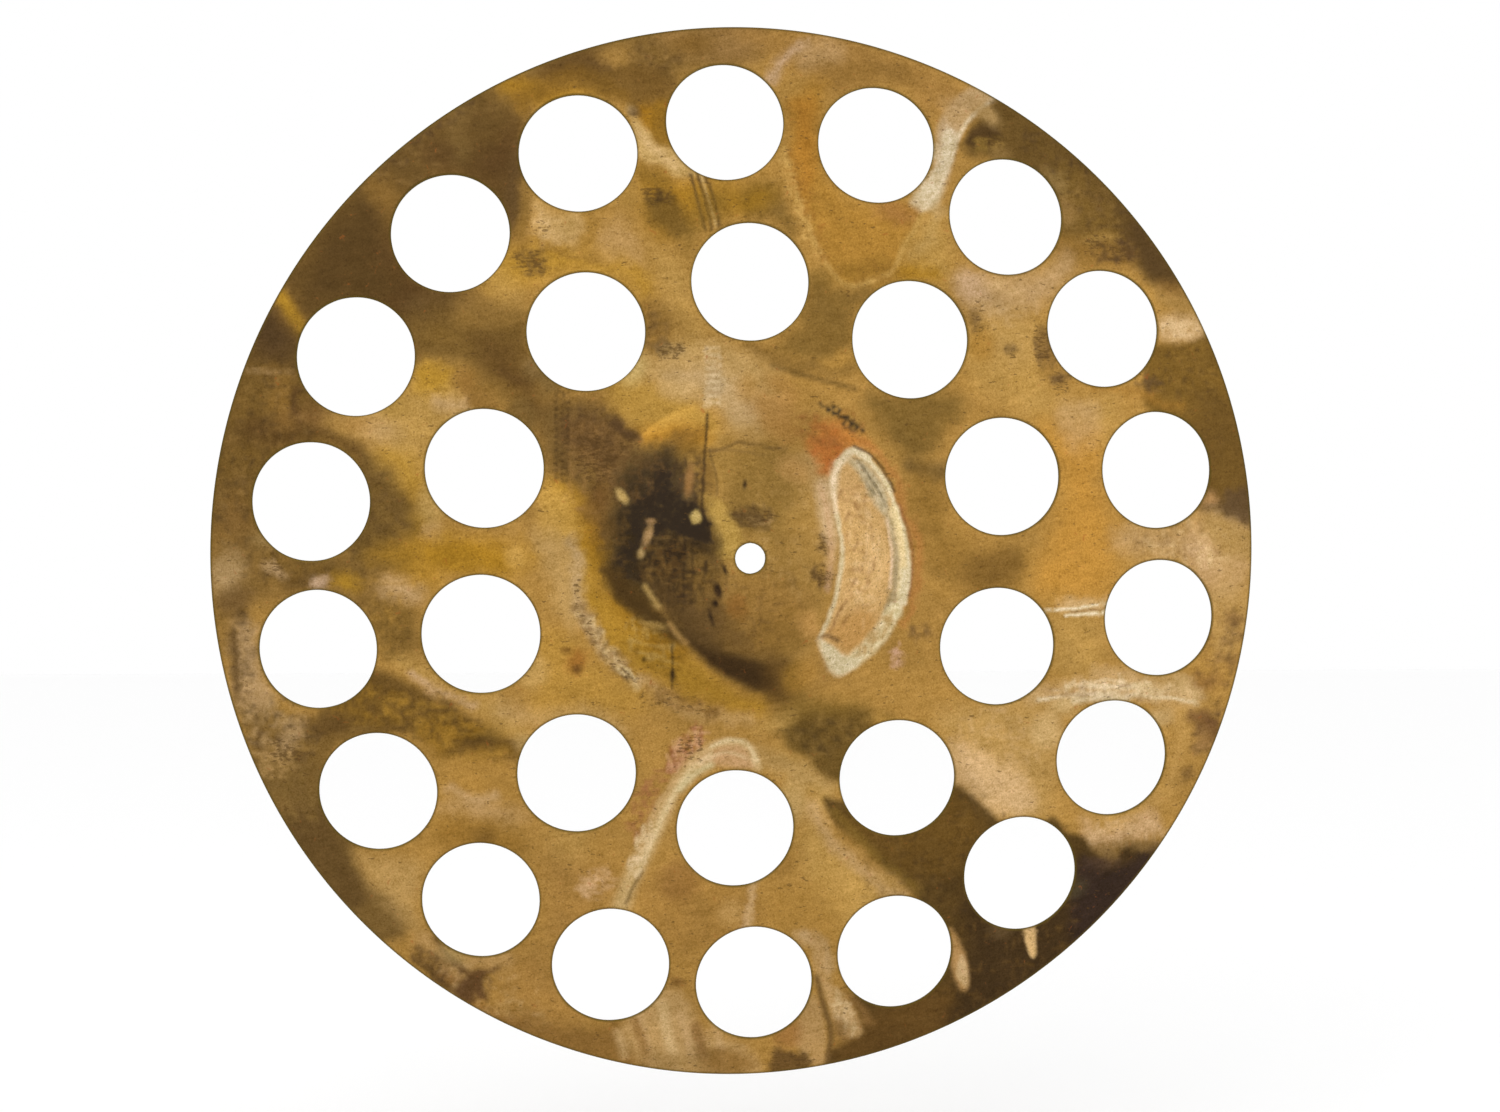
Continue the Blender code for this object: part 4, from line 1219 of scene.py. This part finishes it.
def crescent_reflection(p):
    """A painted reflection of a bright lamp: the pale crescent on the bell's right side."""
    cream = (207, 187, 146)
    left = ((17.6, 17.8), (15.8, 14), (16.5, 8), (17.5, 2), (17, -5), (15.4, -11), (13.4, -15.2))
    right = ((17, 17.4), (20.2, 20), (23, 18.4), (26, 15), (28.6, 10), (30.4, 4), (31.2, -3), (30.4, -9),
             (27.5, -14), (24, -18.4))
    tip = ((20.5, -21.7), (17.5, -22.4), (15, -19.5), (13.2, -15.5))
    p.patch((198, 158, 100), 1, 0.6, *right, *tip, (15.4, -11), (17, -5), (17.6, 2), (16.6, 8), (15.3, 14))
    p.patch((204, 164, 104), 0.9, 2, (19, 10), (24, 9), (27, 4), (27.6, -4), (25, -9), (20, -8))
    p.patch((188, 142, 78), 0.8, 1.4, (16, -13), (22, -10), (25, -13), (20.6, -18), (16.4, -15.6))
    p.dab((224, 184, 126), 0.6, 1.6, 24.4, -1, 1.6, 5)
    # grey speckled band along the right edge
    p.line((186, 165, 124), 0.85, 1.5, 0.8, (20, 18), (23.6, 15), (26, 10.6), (28, 5), (28.9, -1),
           (28.5, -7), (27, -11))
    p.patch((198, 177, 138), 0.85, 0.8, (20.4, 17.6), (23, 17), (27, 12), (26.4, 8.6), (24.6, 9.6),
            (22.6, 13.4))
    p.hatch((150, 132, 92), 0.5, 40, 24.4, 13.6, 2, 5.4, 18, lean=35)
    p.hatch((158, 136, 96), 0.7, 40, 28.5, 0, 0.5, 9, 19)
    p.hatch((148, 124, 82), 0.7, 26, 27.8, -8.6, 1.4, 3, 20)
    p.hatch((156, 114, 66), 0.6, 50, 21, 2, 3.4, 13, 80)
    p.hatch((220, 184, 134), 0.5, 60, 22, 0, 3.4, 13, 81)
    for x, z in ((21.6, 17.4), (22.8, 16), (24, 14.2), (25, 12.6), (23.6, 13), (26, 11)):
        p.line((120, 104, 72), 0.75, 0.3, 0.3, (x - 0.8, z + 1.2), (x + 0.8, z - 1.2))
    # cream edges
    p.line(cream, 0.95, 1.5, 0.5, *right[:3])
    p.line(cream, 0.95, 1, 0.4, *right[2:8])
    p.line((214, 189, 138), 0.85, 1.5, 0.5, (28.2, 9), (29.6, 4), (30.2, -2), (29.8, -7))
    p.line((224, 192, 154), 0.85, 0.5, 0.35, (27, 7), (27.8, 0), (27.5, -6))
    p.line(cream, 0.95, 1.4, 0.6, (30.4, -3), (29.6, -9), (27, -13.6))
    p.line((214, 194, 150), 0.97, 2.8, 0.8, (28.4, -10.5), (26.4, -13.8), (23.6, -17.2), (20.6, -20))
    p.hatch((184, 150, 96), 0.7, 60, 25, -15, 1.2, 6, 21, lean=-38)
    p.patch((210, 186, 146), 0.75, 0.8, (15.2, 14.6), (16.6, 18), (20, 19.8), (19, 18), (17.4, 16.4),
            (16.6, 12), (15.8, 11))
    p.line((226, 200, 160), 0.9, 0.8, 0.5, *left[:3])
    p.line(cream, 0.9, 0.8, 0.5, *left[2:])
    p.patch(cream, 0.98, 0.6, (13.3, -15.4), (16.5, -16.6), (18.8, -18.4), (20.4, -19.4), (22.4, -19.4),
            *tip[:3])
    p.patch((194, 164, 122), 0.65, 1.2, (12.6, 13.4), (15.2, 14), (15.8, 8), (16, 3), (14.6, 3), (13, 7))
    p.line((196, 156, 114), 0.6, 1, 0.8, (13.6, 13), (14.6, 8), (15.4, 0), (14.8, -6))
    p.line((108, 78, 46), 0.8, 0.6, 0.5, (13.6, -15), (15.4, -14.6), (17.4, -15.6))
    for x, z in (
        (16.6, -11.6), (17.4, -10), (16, -13), (18.2, -9), (18.6, -12), (17.2, 12), (18.6, 8), (20, -4.6),
        (20.4, 2.4),
    ):
        p.line((140, 100, 56), 0.7, 0.4, 0.4, (x - 0.4, z - 0.9), (x + 0.4, z + 0.6))
    # thin dark line outside its shoulder
    p.line((66, 46, 30), 0.9, 0.35, 0.35, (20.6, 20.9), (23.6, 19.2), (26, 16.6), (28.4, 12.4))
    p.line((140, 92, 56), 0.8, 0.35, 0.4, (29.6, 10), (31.4, 4), (32, -2), (31.4, -8))


def arch_reflection(p):
    """A painted reflection: the pale arch round the bottom inner hole."""
    path = ((-22.6, -66), (-21, -61), (-18.2, -55), (-14.6, -47), (-11.4, -41.5), (-8.4, -37.6),
            (-3.6, -35.4), (1, -36.4), (2.8, -40))
    p.hatch((142, 88, 52), 0.8, 90, -11, -36.6, 2.4, 5.4, 22, lean=-35)
    p.hatch((206, 160, 116), 0.6, 50, -11, -36.6, 2.4, 5.4, 62, lean=-35)
    p.hatch((156, 106, 64), 0.7, 80, -18, -47, 3, 7, 23, lean=-20)
    p.line((190, 158, 104), 0.9, 3.2, 1.2, *path[:4])
    p.line((196, 164, 112), 0.9, 2.4, 1, *path[2:5])
    p.line((196, 164, 112), 0.9, 1.6, 0.8, *path[3:])
    p.patch((190, 150, 104), 0.8, 0.8, (-9, -39), (-4, -36), (0, -36.4), (2, -40), (-2, -40))
    p.line((216, 190, 142), 0.7, 0.7, 0.6, (-20, -60.4), (-17, -53.4), (-13.4, -46), (-10, -40.6),
           (-6, -37.4))
    p.line((180, 142, 88), 0.7, 0.6, 0.6, (-20.4, -57), (-16.4, -48.6), (-13, -42.6), (-9.6, -37.8),
           (-4, -34.6))
    p.line((206, 176, 130), 0.8, 0.5, 0.5, (-8, -39.4), (-3.6, -37.2), (0.6, -38.2))
    p.line((200, 178, 130), 0.85, 1.3, 0.6, (-11.8, -44), (-9.4, -41.4), (-6.2, -39.6))
    p.line((214, 188, 142), 0.9, 0.6, 0.5, (-6, -36), (-2.4, -34.8), (0.8, -35.8), (2.6, -39))
    p.hatch((208, 178, 132), 0.7, 60, -19.4, -56, 1.6, 6, 24, lean=-20)
    p.line((120, 94, 54), 0.8, 0.5, 0.4, (-21.8, -66), (-20.6, -62.8), (-19, -60))
    p.hatch((200, 162, 116), 0.6, 50, -27.6, -62, 3.6, 3, 25)
    p.streak((194, 158, 104), 0.85, 1.2, 0.8, (4, -61), (2.8, -65), (1.6, -70.5))
    p.dab(STRAW, 0.7, 1.2, 5.5, -31, 4, 1.4, 20)


def specks(p):
    """Speckled spots, and the scuff at the bell's lower left."""
    for spot in (
        (-40, 55, 3, 2.4), (-16.5, 67.5, 3, 2), (-14, 38.8, 2.4, 1.4), (57.5, 40, 2, 3.6), (61, 33, 1.8, 2),
        (45, 43, 1.4, 1), (44.4, 46.5, 0.7, 1.6), (50.6, 39, 1, 0.8), (68, 60, 2.4, 2), (74, 58, 2, 2),
        (13.5, 2.5, 1, 2.4), (14, -3.4, 2, 1.6), (1, 8, 3.4, 1.4), (-16, -27, 3, 1), (-10, -28.6, 3, 0.8),
        (-86, -37, 3, 3), (-88, -3, 2, 1.4), (-38, 61.5, 1.6, 1.4), (47.5, 79, 2.4, 1.6),
        (11.5, -97.5, 3, 1.4), (-10, -36, 2.6, 2.2), (-28, 18, 4, 5), (-22, 20, 2, 3), (-15, -1, 3, 4),
    ):
        p.spot("speck", 0.46, 1.4, *spot)
    p.streak("speck", 0.36, 1.2, 1, (-31.8, -4), (-30.4, -12), (-26, -19), (-21, -24))
    for x, z in (
        (-24.4, -21.4), (-23.6, -22.2), (-22.6, -21.6), (-22.8, -22.8), (-21.8, -22.2), (-21.4, -23),
    ):
        p.line((88, 66, 40), 0.85, 0.35, 0.35, (x - 0.7, z + 0.4), (x + 0.7, z - 0.4))
        p.line((214, 186, 134), 0.7, 0.3, 0.3, (x - 0.7, z + 0.9), (x + 0.7, z + 0.1))


def last_touches(p):
    """Small lighter and darker patches laid over the larger stains, all over the face."""
    p.touches(
        ((88, 63, 29), -58, 75.4, 3, 2.4), ((152, 116, 54), -22, 68, 2.4, 3, 30),
        ((136, 101, 44), -42, 59.6, 1.4, 3), ((122, 89, 36), -9.6, 96.6, 4, 2, 5),
        ((162, 121, 60), -73, 24.6, 3, 1.4), ((144, 105, 48), -53, 33, 2, 2),
        ((196, 167, 106), -21, 35, 2, 3, -30), ((166, 132, 74), -33.6, 62, 2, 2),
        ((166, 134, 84), 47.4, 83.8, 2.2, 1.4, -40), ((125, 91, 43), 83.4, 51.4, 2.6, 1.4, -20),
        ((142, 111, 62), 49.4, 76.4, 2, 1.8), ((132, 102, 52), -6.8, 4, 1, 1.6),
        ((155, 122, 69), -10.5, -97, 4, 1.6, -5), ((168, 140, 87), -54.4, -76, 2.4, 1.6, -30),
        ((168, 127, 52), -27.4, -5.6, 1.4, 2.6, 30), ((100, 68, 30), -27.4, 11.4, 1.6, 2.4),
        ((176, 144, 91), -41.4, -35.4, 1.6, 1.6), ((192, 151, 80), -43, 0, 2, 2),
        ((177, 140, 80), 28.6, -62.2, 2.4, 1.4, -30), ((94, 80, 54), 65, -64.8, 2.4, 1.6, 20),
        ((108, 84, 51), 50.7, -72, 2.4, 2), ((142, 112, 68), 71, -57.4, 2, 0.8, -20),
        ((138, 104, 58), 19.6, -91.4, 1, 2, 20), ((183, 144, 84), -1.8, -68, 2.4, 2.4),
        ((184, 139, 67), 11.7, -21.6, 2, 2.4), ((202, 166, 110), -12.5, 31.2, 3, 1.6),
        ((118, 88, 41), -7.4, 13.4, 0.9, 2.6), ((118, 86, 33), -10.5, 20.2, 2, 1.4),
    )


# In the order they are laid, each over those before it; painted shade and painted reflections are among the
# stains
AREAS_AND_PAINTED_LIGHT = (
    umber_upper_left, straw_left, olive_upper_left, haze_upper_left, rim_top, tan_top, touches_upper_left,
    rim_upper_right, tongue_reflection, pink_band_reflection, olive_tip, umber_upper_right, cream_patch, tan_right, olive_right,
    orange_right, arc_top, touches_upper_right, rim_left, gold_band, mottled_left, umber_lower_left,
    tan_lower_left, straw_bottom, pink_right, spots_right, umber_lower_right, touches_lower_right,
    bare_lower_right, bell_ground_and_shading, bell_foot, above_bell, left_of_bell, bell_stain_and_shade, bell_shade_ring, bell_top,
    bell_scratches, copper_stain, last_touches,
)
MARKS_AND_PAINTED_LIGHT = (scratches, arch_reflection, crescent_reflection, specks)


def face_patina(x, z):
    """The bell's side: stains with painted shade and reflections, wiped streaks over them, then marks and
    reflections.
    """
    p = Patina(x, z, TAN, seed=1)
    for area in AREAS_AND_PAINTED_LIGHT:
        area(p)
    p.smear(0.1, 8, -32, 2.2, 300)
    p.smear(0.12, 3.2, -25, 1.8, 310)
    for mark in MARKS_AND_PAINTED_LIGHT:
        mark(p)
    return p


def ring(radius):
    """Points of a whole turn round the gong's axis."""
    turn = np.radians(np.arange(0, 361, 10))
    return zip(radius * np.sin(turn), radius * np.cos(turn))


def back_patina(x, z):
    """The hollow side, never polished: olive brown, with painted shade in the bell's hollow, rubbed where a
    felt sits.
    """
    p = Patina(x, z, (134, 101, 50), seed=60)
    draw = np.random.default_rng(11)
    tones = (OLIVE, BROWN, UMBER, GOLD, TAN, (150, 112, 60))
    for tone in tones * 9:
        reach, turn = 96 * sqrt(draw.uniform()), draw.uniform(0, tau)
        size = draw.uniform(5, 17)
        p.dab(tone, draw.uniform(0.35, 0.8), size * 0.5, reach * sin(turn), reach * cos(turn), size,
              size * draw.uniform(0.35, 0.8), draw.uniform(-60, 20))
    # painted shade darkens the bell's hollow and a ring inside its edge; the lighter ring on the edge is a
    # painted highlight
    p.dab((110, 82, 40), 0.6, 6, 0, 0, 26, 26)
    p.streak((96, 70, 34), 0.5, 4, 2.5, *ring(24))
    p.streak((168, 130, 70), 0.55, 1.6, 1.6, *ring(31))
    p.line((100, 74, 36), 0.6, 1, 1.2, *ring(8.4))
    p.line((178, 142, 82), 0.7, 2.6, 0.9, *ring(5.4))
    p.line((170, 132, 72), 0.6, 1.6, 1.2, *ring(98.4))
    for _ in range(26):
        reach, turn = draw.uniform(20, 92), draw.uniform(0, tau)
        size = draw.uniform(2, 6)
        p.dab("umber", draw.uniform(0.4, 0.7), size * 0.6, reach * sin(turn), reach * cos(turn), size,
              size * 0.6)
    for start in draw.uniform(0, 360, 40):
        reach = draw.uniform(12, 96)
        sweep = np.radians(start + np.arange(0, draw.uniform(25, 90), 8))
        p.streak(draw.choice(np.array([STRAW, HAZE, OLIVE, UMBER])), 0.45, draw.uniform(0.4, 1.8), 0.9,
                 *zip(reach * np.sin(sweep), reach * np.cos(sweep)))
    p.hatch((92, 68, 36), 0.6, 420, 0, 0, 97, 97, 90)
    p.hatch((172, 136, 80), 0.5, 300, 0, 0, 97, 97, 91)
    p.dab("soot_and_shade", 0.56, 9, 8, 8, 13, 11)
    p.smear(0.24, 10, 20, 2, 330)
    p.smear(0.2, 3.6, 35, 1.8, 340)
    return p


# ---- Material -------------------------------------------------------------------------------------------

# Film and edge tones, as display RGB out of 255
DARK_UMBER_FILM = (74, 52, 22)
LIGHT_UMBER_FILM = (112, 84, 40)
# the soot film's tone also darkens the painted shade on the bell's left shoulder
SOOT_AND_SHADE_FILM = (50, 36, 21)
SPECK_FILM = (92, 66, 34)
COPPER_FLECK = (152, 84, 36)
CUT_EDGE = (96, 78, 30)

# What the shade is multiplied by, as linear light
DARKER = (0.68, 0.645, 0.52, 1)
LIGHTER = (1.26, 1.30, 1.58, 1)
PINPRICK = (0.62, 0.56, 0.48, 1)
BALANCE = (1.05, 1.12, 1.15, 1)


class Textures(NamedTuple):
    """Noise sockets of the material."""

    grain: bpy.types.NodeSocket
    mottle: bpy.types.NodeSocket
    drift: bpy.types.NodeSocket
    wiped: bpy.types.NodeSocket
    dashes: bpy.types.NodeSocket
    pits: bpy.types.NodeSocket


class Graph:
    """Short ways to add nodes to a material; a socket or a plain value can feed any input."""

    def __init__(self, material):
        material.use_nodes = True
        self.tree = material.node_tree
        self.tree.nodes.clear()

    def node(self, kind, inputs=(), **settings):
        node = self.tree.nodes.new(kind)
        for name, value in settings.items():
            setattr(node, name, value)
        for name, value in dict(inputs).items():
            self.feed(node.inputs[name], value)
        return node

    def feed(self, socket, value):
        if isinstance(value, bpy.types.NodeSocket):
            self.tree.links.new(value, socket)
        else:
            socket.default_value = value

    def math(self, operation, *values, clamp=False):
        node = self.node("ShaderNodeMath", enumerate(values), operation=operation, use_clamp=clamp)
        return node.outputs[0]

    def scale(self, value, factor):
        return self.math("MULTIPLY", value, factor)

    def stretch(self, value, start, end, low, high):
        """Straight from low at start to high at end."""
        inputs = {"Value": value, "From Min": start, "From Max": end, "To Min": low, "To Max": high}
        return self.node("ShaderNodeMapRange", inputs).outputs["Result"]

    def step(self, value, middle, half_width):
        """A soft step from 0 to 1."""
        inputs = {"Value": value, "From Min": middle - half_width, "From Max": middle + half_width}
        return self.node("ShaderNodeMapRange", inputs, interpolation_type="SMOOTHSTEP").outputs["Result"]

    def mix(self, share, low, high, blend="MIX"):
        node = self.node("ShaderNodeMix", data_type="RGBA", blend_type=blend)
        self.feed(node.inputs[0], share)
        self.feed(node.inputs[6], low)
        self.feed(node.inputs[7], high)
        return node.outputs[2]

    def turned(self, vector, degrees, stretch):
        """Coordinates drawn out along a direction in the plane of the sheet."""
        turn = self.node("ShaderNodeMapping", {"Vector": vector, "Rotation": (0, radians(degrees), 0)})
        drawn = self.node("ShaderNodeMapping", {"Vector": turn.outputs[0], "Scale": (1 / stretch, 1, 1)})
        return drawn.outputs[0]

    def noise(self, vector, size, detail=3, roughness=0.55, distortion=0):
        """Noise spread over 0 to 1, with lumps of this size."""
        inputs = {"Vector": vector, "Scale": 1 / size, "Detail": detail, "Roughness": roughness}
        noise = self.node("ShaderNodeTexNoise", {**inputs, "Distortion": distortion})
        return self.stretch(noise.outputs[0], 0.26, 0.74, 0, 1)

    def painted(self, name):
        """Something laid on the mesh's points."""
        return self.node("ShaderNodeAttribute", attribute_name=name)


def colour(rgb):
    return (*linear(rgb), 1)


def sum_of(g, *weighted):
    total = 0
    for weight, value in weighted:
        total = g.math("MULTIPLY_ADD", value, weight, total)
    return total


def fine_textures(g):
    """Noises from 0 to 1 over the sheet; their sizes are in millimetres."""
    place = g.node("ShaderNodeTexCoord").outputs["Object"]
    place = g.node("ShaderNodeVectorMath", {0: place, "Scale": 1 / MM}, operation="SCALE").outputs[0]
    grain = g.noise(place, 0.8, detail=3, roughness=0.7)
    mottle = g.noise(place, 3.2, detail=4, distortion=0.6)
    drift = g.noise(place, 12, detail=4, roughness=0.6, distortion=1.2)
    wiped = g.noise(g.turned(place, 12, 6), 1.8, detail=3, distortion=0.3)
    dashes = g.noise(g.turned(place, 0, 2.6), 1.1, detail=2)
    pits = g.noise(place, 1.7, detail=1)
    return Textures(grain, mottle, drift, wiped, dashes, pits)


def film(g, name, texture, depth, softness, most):
    """How much of the surface a painted film hides, broken up by a texture."""
    thick = g.painted(name).outputs["Fac"]
    broken = g.math("ADD", thick, g.scale(g.math("SUBTRACT", texture, 0.5), depth))
    return g.scale(g.step(broken, 0.5, softness), most)


def tarnished(g, textures, soot_and_shade, speck):
    """The painted ground, lighter and darker with the textures, under its films and along its cut edges."""
    tone = g.painted("tone").outputs["Color"]
    light = sum_of(
        g, (0.14, textures.drift), (0.18, textures.mottle), (0.18, textures.wiped), (0.5, textures.grain)
    )
    darker = g.mix(1, tone, DARKER, "MULTIPLY")
    lighter = g.mix(1, tone, LIGHTER, "MULTIPLY")
    shade = g.mix(g.stretch(light, 0.2, 0.8, 0, 1), darker, lighter)

    umber = film(g, "umber", textures.drift, 0.5, 0.14, 0.85)
    shade = g.mix(umber, shade, g.mix(light, colour(DARK_UMBER_FILM), colour(LIGHT_UMBER_FILM)))
    copper = g.scale(g.step(textures.mottle, 0.955, 0.127), 0.6)
    shade = g.mix(copper, shade, colour(COPPER_FLECK))
    # the soot film: soot on the back, and soot with painted shade on the bell's left shoulder
    shade = g.mix(soot_and_shade, shade, colour(SOOT_AND_SHADE_FILM))
    shade = g.mix(speck, shade, colour(SPECK_FILM))
    pinpricks = g.scale(g.step(textures.pits, 0.88, 0.05), 0.4)
    shade = g.mix(pinpricks, shade, g.mix(1, shade, PINPRICK, "MULTIPLY"))
    edge = g.painted("edge").outputs["Fac"]
    shade = g.mix(g.scale(edge, 0.9), shade, colour(CUT_EDGE))
    deepened = g.node("ShaderNodeGamma", {"Color": shade, "Gamma": 1.12}).outputs[0]
    return g.mix(1, deepened, BALANCE, "MULTIPLY")


def bronze(name):
    """Aged bronze: the painted ground and films, broken up by grain, mottling, wiping marks and specks."""
    material = bpy.data.materials.new(name)
    g = Graph(material)
    textures = fine_textures(g)
    soot_and_shade = film(g, "soot_and_shade", sum_of(g, (0.5, textures.drift), (0.5, textures.mottle)), 0.8, 0.22, 0.92)
    speck = film(g, "speck", textures.dashes, 1.3, 0.12, 0.6)
    roughness = sum_of(g, (0.16, textures.drift), (0.1, textures.grain), (0.28, soot_and_shade))
    relief = sum_of(g, (0.6, textures.mottle), (0.4, textures.grain), (-0.8, speck))
    bump = g.node("ShaderNodeBump", {"Height": relief, "Strength": 0.25, "Distance": 0.06 * MM})
    finish = {
        "Base Color": tarnished(g, textures, soot_and_shade, speck),
        "Metallic": g.stretch(soot_and_shade, 0, 1, 0.72, 0.1),
        "Roughness": g.math("ADD", roughness, 0.34),
        "Specular IOR Level": 0.15,
        "Normal": bump.outputs[0],
    }
    surface = g.node("ShaderNodeBsdfPrincipled", finish)
    g.node("ShaderNodeOutputMaterial", {"Surface": surface.outputs[0]})
    return material


# ---- The piece ------------------------------------------------------------------------------------------


def lay_patina(mesh, sheet):
    """Stores the face's and back's patina and the cut edges on the mesh's points."""
    x, z = sheet.points[:, 0] / RIM_RADIUS * 100, sheet.points[:, 2] / RIM_RADIUS * 100
    face = face_patina(x, z)
    back = back_patina(-x, z)
    on_back = sheet.on_back
    tone = np.where(on_back[:, None], back.tone, face.tone)
    colours = np.column_stack([np.clip(tone, 0, 1), np.ones(len(tone))])
    store(mesh, "tone", "FLOAT_COLOR", "color", colours)
    for name in FILMS:
        store(mesh, name, "FLOAT", "value", np.where(on_back, back.film[name], face.film[name]))
    store(mesh, "edge", "FLOAT", "value", sheet.edge)


def store(mesh, name, kind, field, values):
    mesh.attributes.new(name, kind, "POINT").data.foreach_set(field, values.ravel())


def gong_sheet():
    """The one visible piece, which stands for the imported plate."""
    sheet = build_sheet(find_cuts())
    mesh = bpy.data.meshes.new("gong_sheet")
    mesh.from_pydata(sheet.points.tolist(), [], sheet.faces)
    mesh.shade_smooth()
    lay_patina(mesh, sheet)
    mesh.materials.append(bronze("aged_bronze"))
    piece = bpy.data.objects.new("gong_sheet", mesh)
    bpy.context.scene.collection.objects.link(piece)
    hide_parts(PLATE)
    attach(piece, "root")


# ---- Studio ---------------------------------------------------------------------------------------------

# Places and sizes in rim radii; the camera is fitted to the photographed rim, bell and holes
FLOOR_HALF = 14
FLOOR_DROP = 0.3
CAMERA_PLACE = (-0.8588, -7.4133, 0.3468)
CAMERA_FORWARD = (0.11771, 0.99194, -0.04695)
CAMERA_UP = (0, 0.04728, 0.99888)
FOCAL_LENGTH = 93.96
SENSOR_WIDTH = 36
PALE = (0.97, 0.97, 0.97, 1)


def floor():
    """A plain pale floor below the gong, which hangs free."""
    half = FLOOR_HALF * RIM_RADIUS
    height = CAD_BOX[0][2] - FLOOR_DROP * RIM_RADIUS
    mesh = bpy.data.meshes.new("floor")
    corners = [(-half, -half, height), (half, -half, height), (half, half, height), (-half, half, height)]
    mesh.from_pydata(corners, [], [(0, 1, 2, 3)])
    material = bpy.data.materials.new("pale_floor")
    g = Graph(material)
    surface = g.node("ShaderNodeBsdfPrincipled", {"Base Color": PALE, "Roughness": 0.8})
    g.node("ShaderNodeOutputMaterial", {"Surface": surface.outputs[0]})
    mesh.materials.append(material)
    obj = bpy.data.objects.new("floor", mesh)
    bpy.context.scene.collection.objects.link(obj)


def studio_sky():
    """White behind the gong; the light that falls on it is a little brighter from above."""
    world = bpy.data.worlds.new("studio")
    bpy.context.scene.world = world
    g = Graph(world)
    direction = g.node("ShaderNodeTexCoord").outputs["Generated"]
    up = g.node("ShaderNodeSeparateXYZ", {0: direction}).outputs[2]
    glow = g.stretch(up, -1, 1, 0.8, 1.05)
    seen = g.node("ShaderNodeLightPath").outputs["Is Camera Ray"]
    strength = g.math("MULTIPLY_ADD", seen, g.math("SUBTRACT", 1, glow), glow)
    sky = g.node("ShaderNodeBackground", {"Color": (1, 1, 1, 1), "Strength": strength})
    g.node("ShaderNodeOutputWorld", {"Surface": sky.outputs[0]})


def lamp(name, place, size, watts):
    """A square soft box aimed at the middle of the gong; place is in rim radii."""
    light = bpy.data.lights.new(name, "AREA")
    light.size = size * RIM_RADIUS
    light.energy = watts
    obj = bpy.data.objects.new(name, light)
    obj.location = Vector(place) * RIM_RADIUS
    obj.rotation_euler = (-obj.location).to_track_quat("-Z", "Y").to_euler()
    bpy.context.scene.collection.objects.link(obj)


def camera():
    """The photograph's viewing angle."""
    data = bpy.data.cameras.new("camera")
    data.lens = FOCAL_LENGTH
    data.sensor_width = SENSOR_WIDTH
    obj = bpy.data.objects.new("camera", data)
    place = Vector(CAMERA_PLACE) * RIM_RADIUS + Vector((0, FRONT_OF_RIM, 0))
    forward, up = Vector(CAMERA_FORWARD), Vector(CAMERA_UP)
    right = forward.cross(up).normalized()
    turn = Matrix((right, right.cross(forward), -forward)).transposed().to_4x4()
    obj.matrix_world = Matrix.Translation(place) @ turn
    bpy.context.scene.collection.objects.link(obj)
    bpy.context.scene.camera = obj


def write_sizes():
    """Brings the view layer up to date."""
    bpy.context.view_layer.update()


gong_sheet()
floor()
studio_sky()
lamp("key", (-3.2, -6, 4.5), 3, 6)
lamp("fill", (4.5, -5, 1), 3, 2.5)
camera()
bpy.context.scene.view_settings.view_transform = "Standard"
write_sizes()
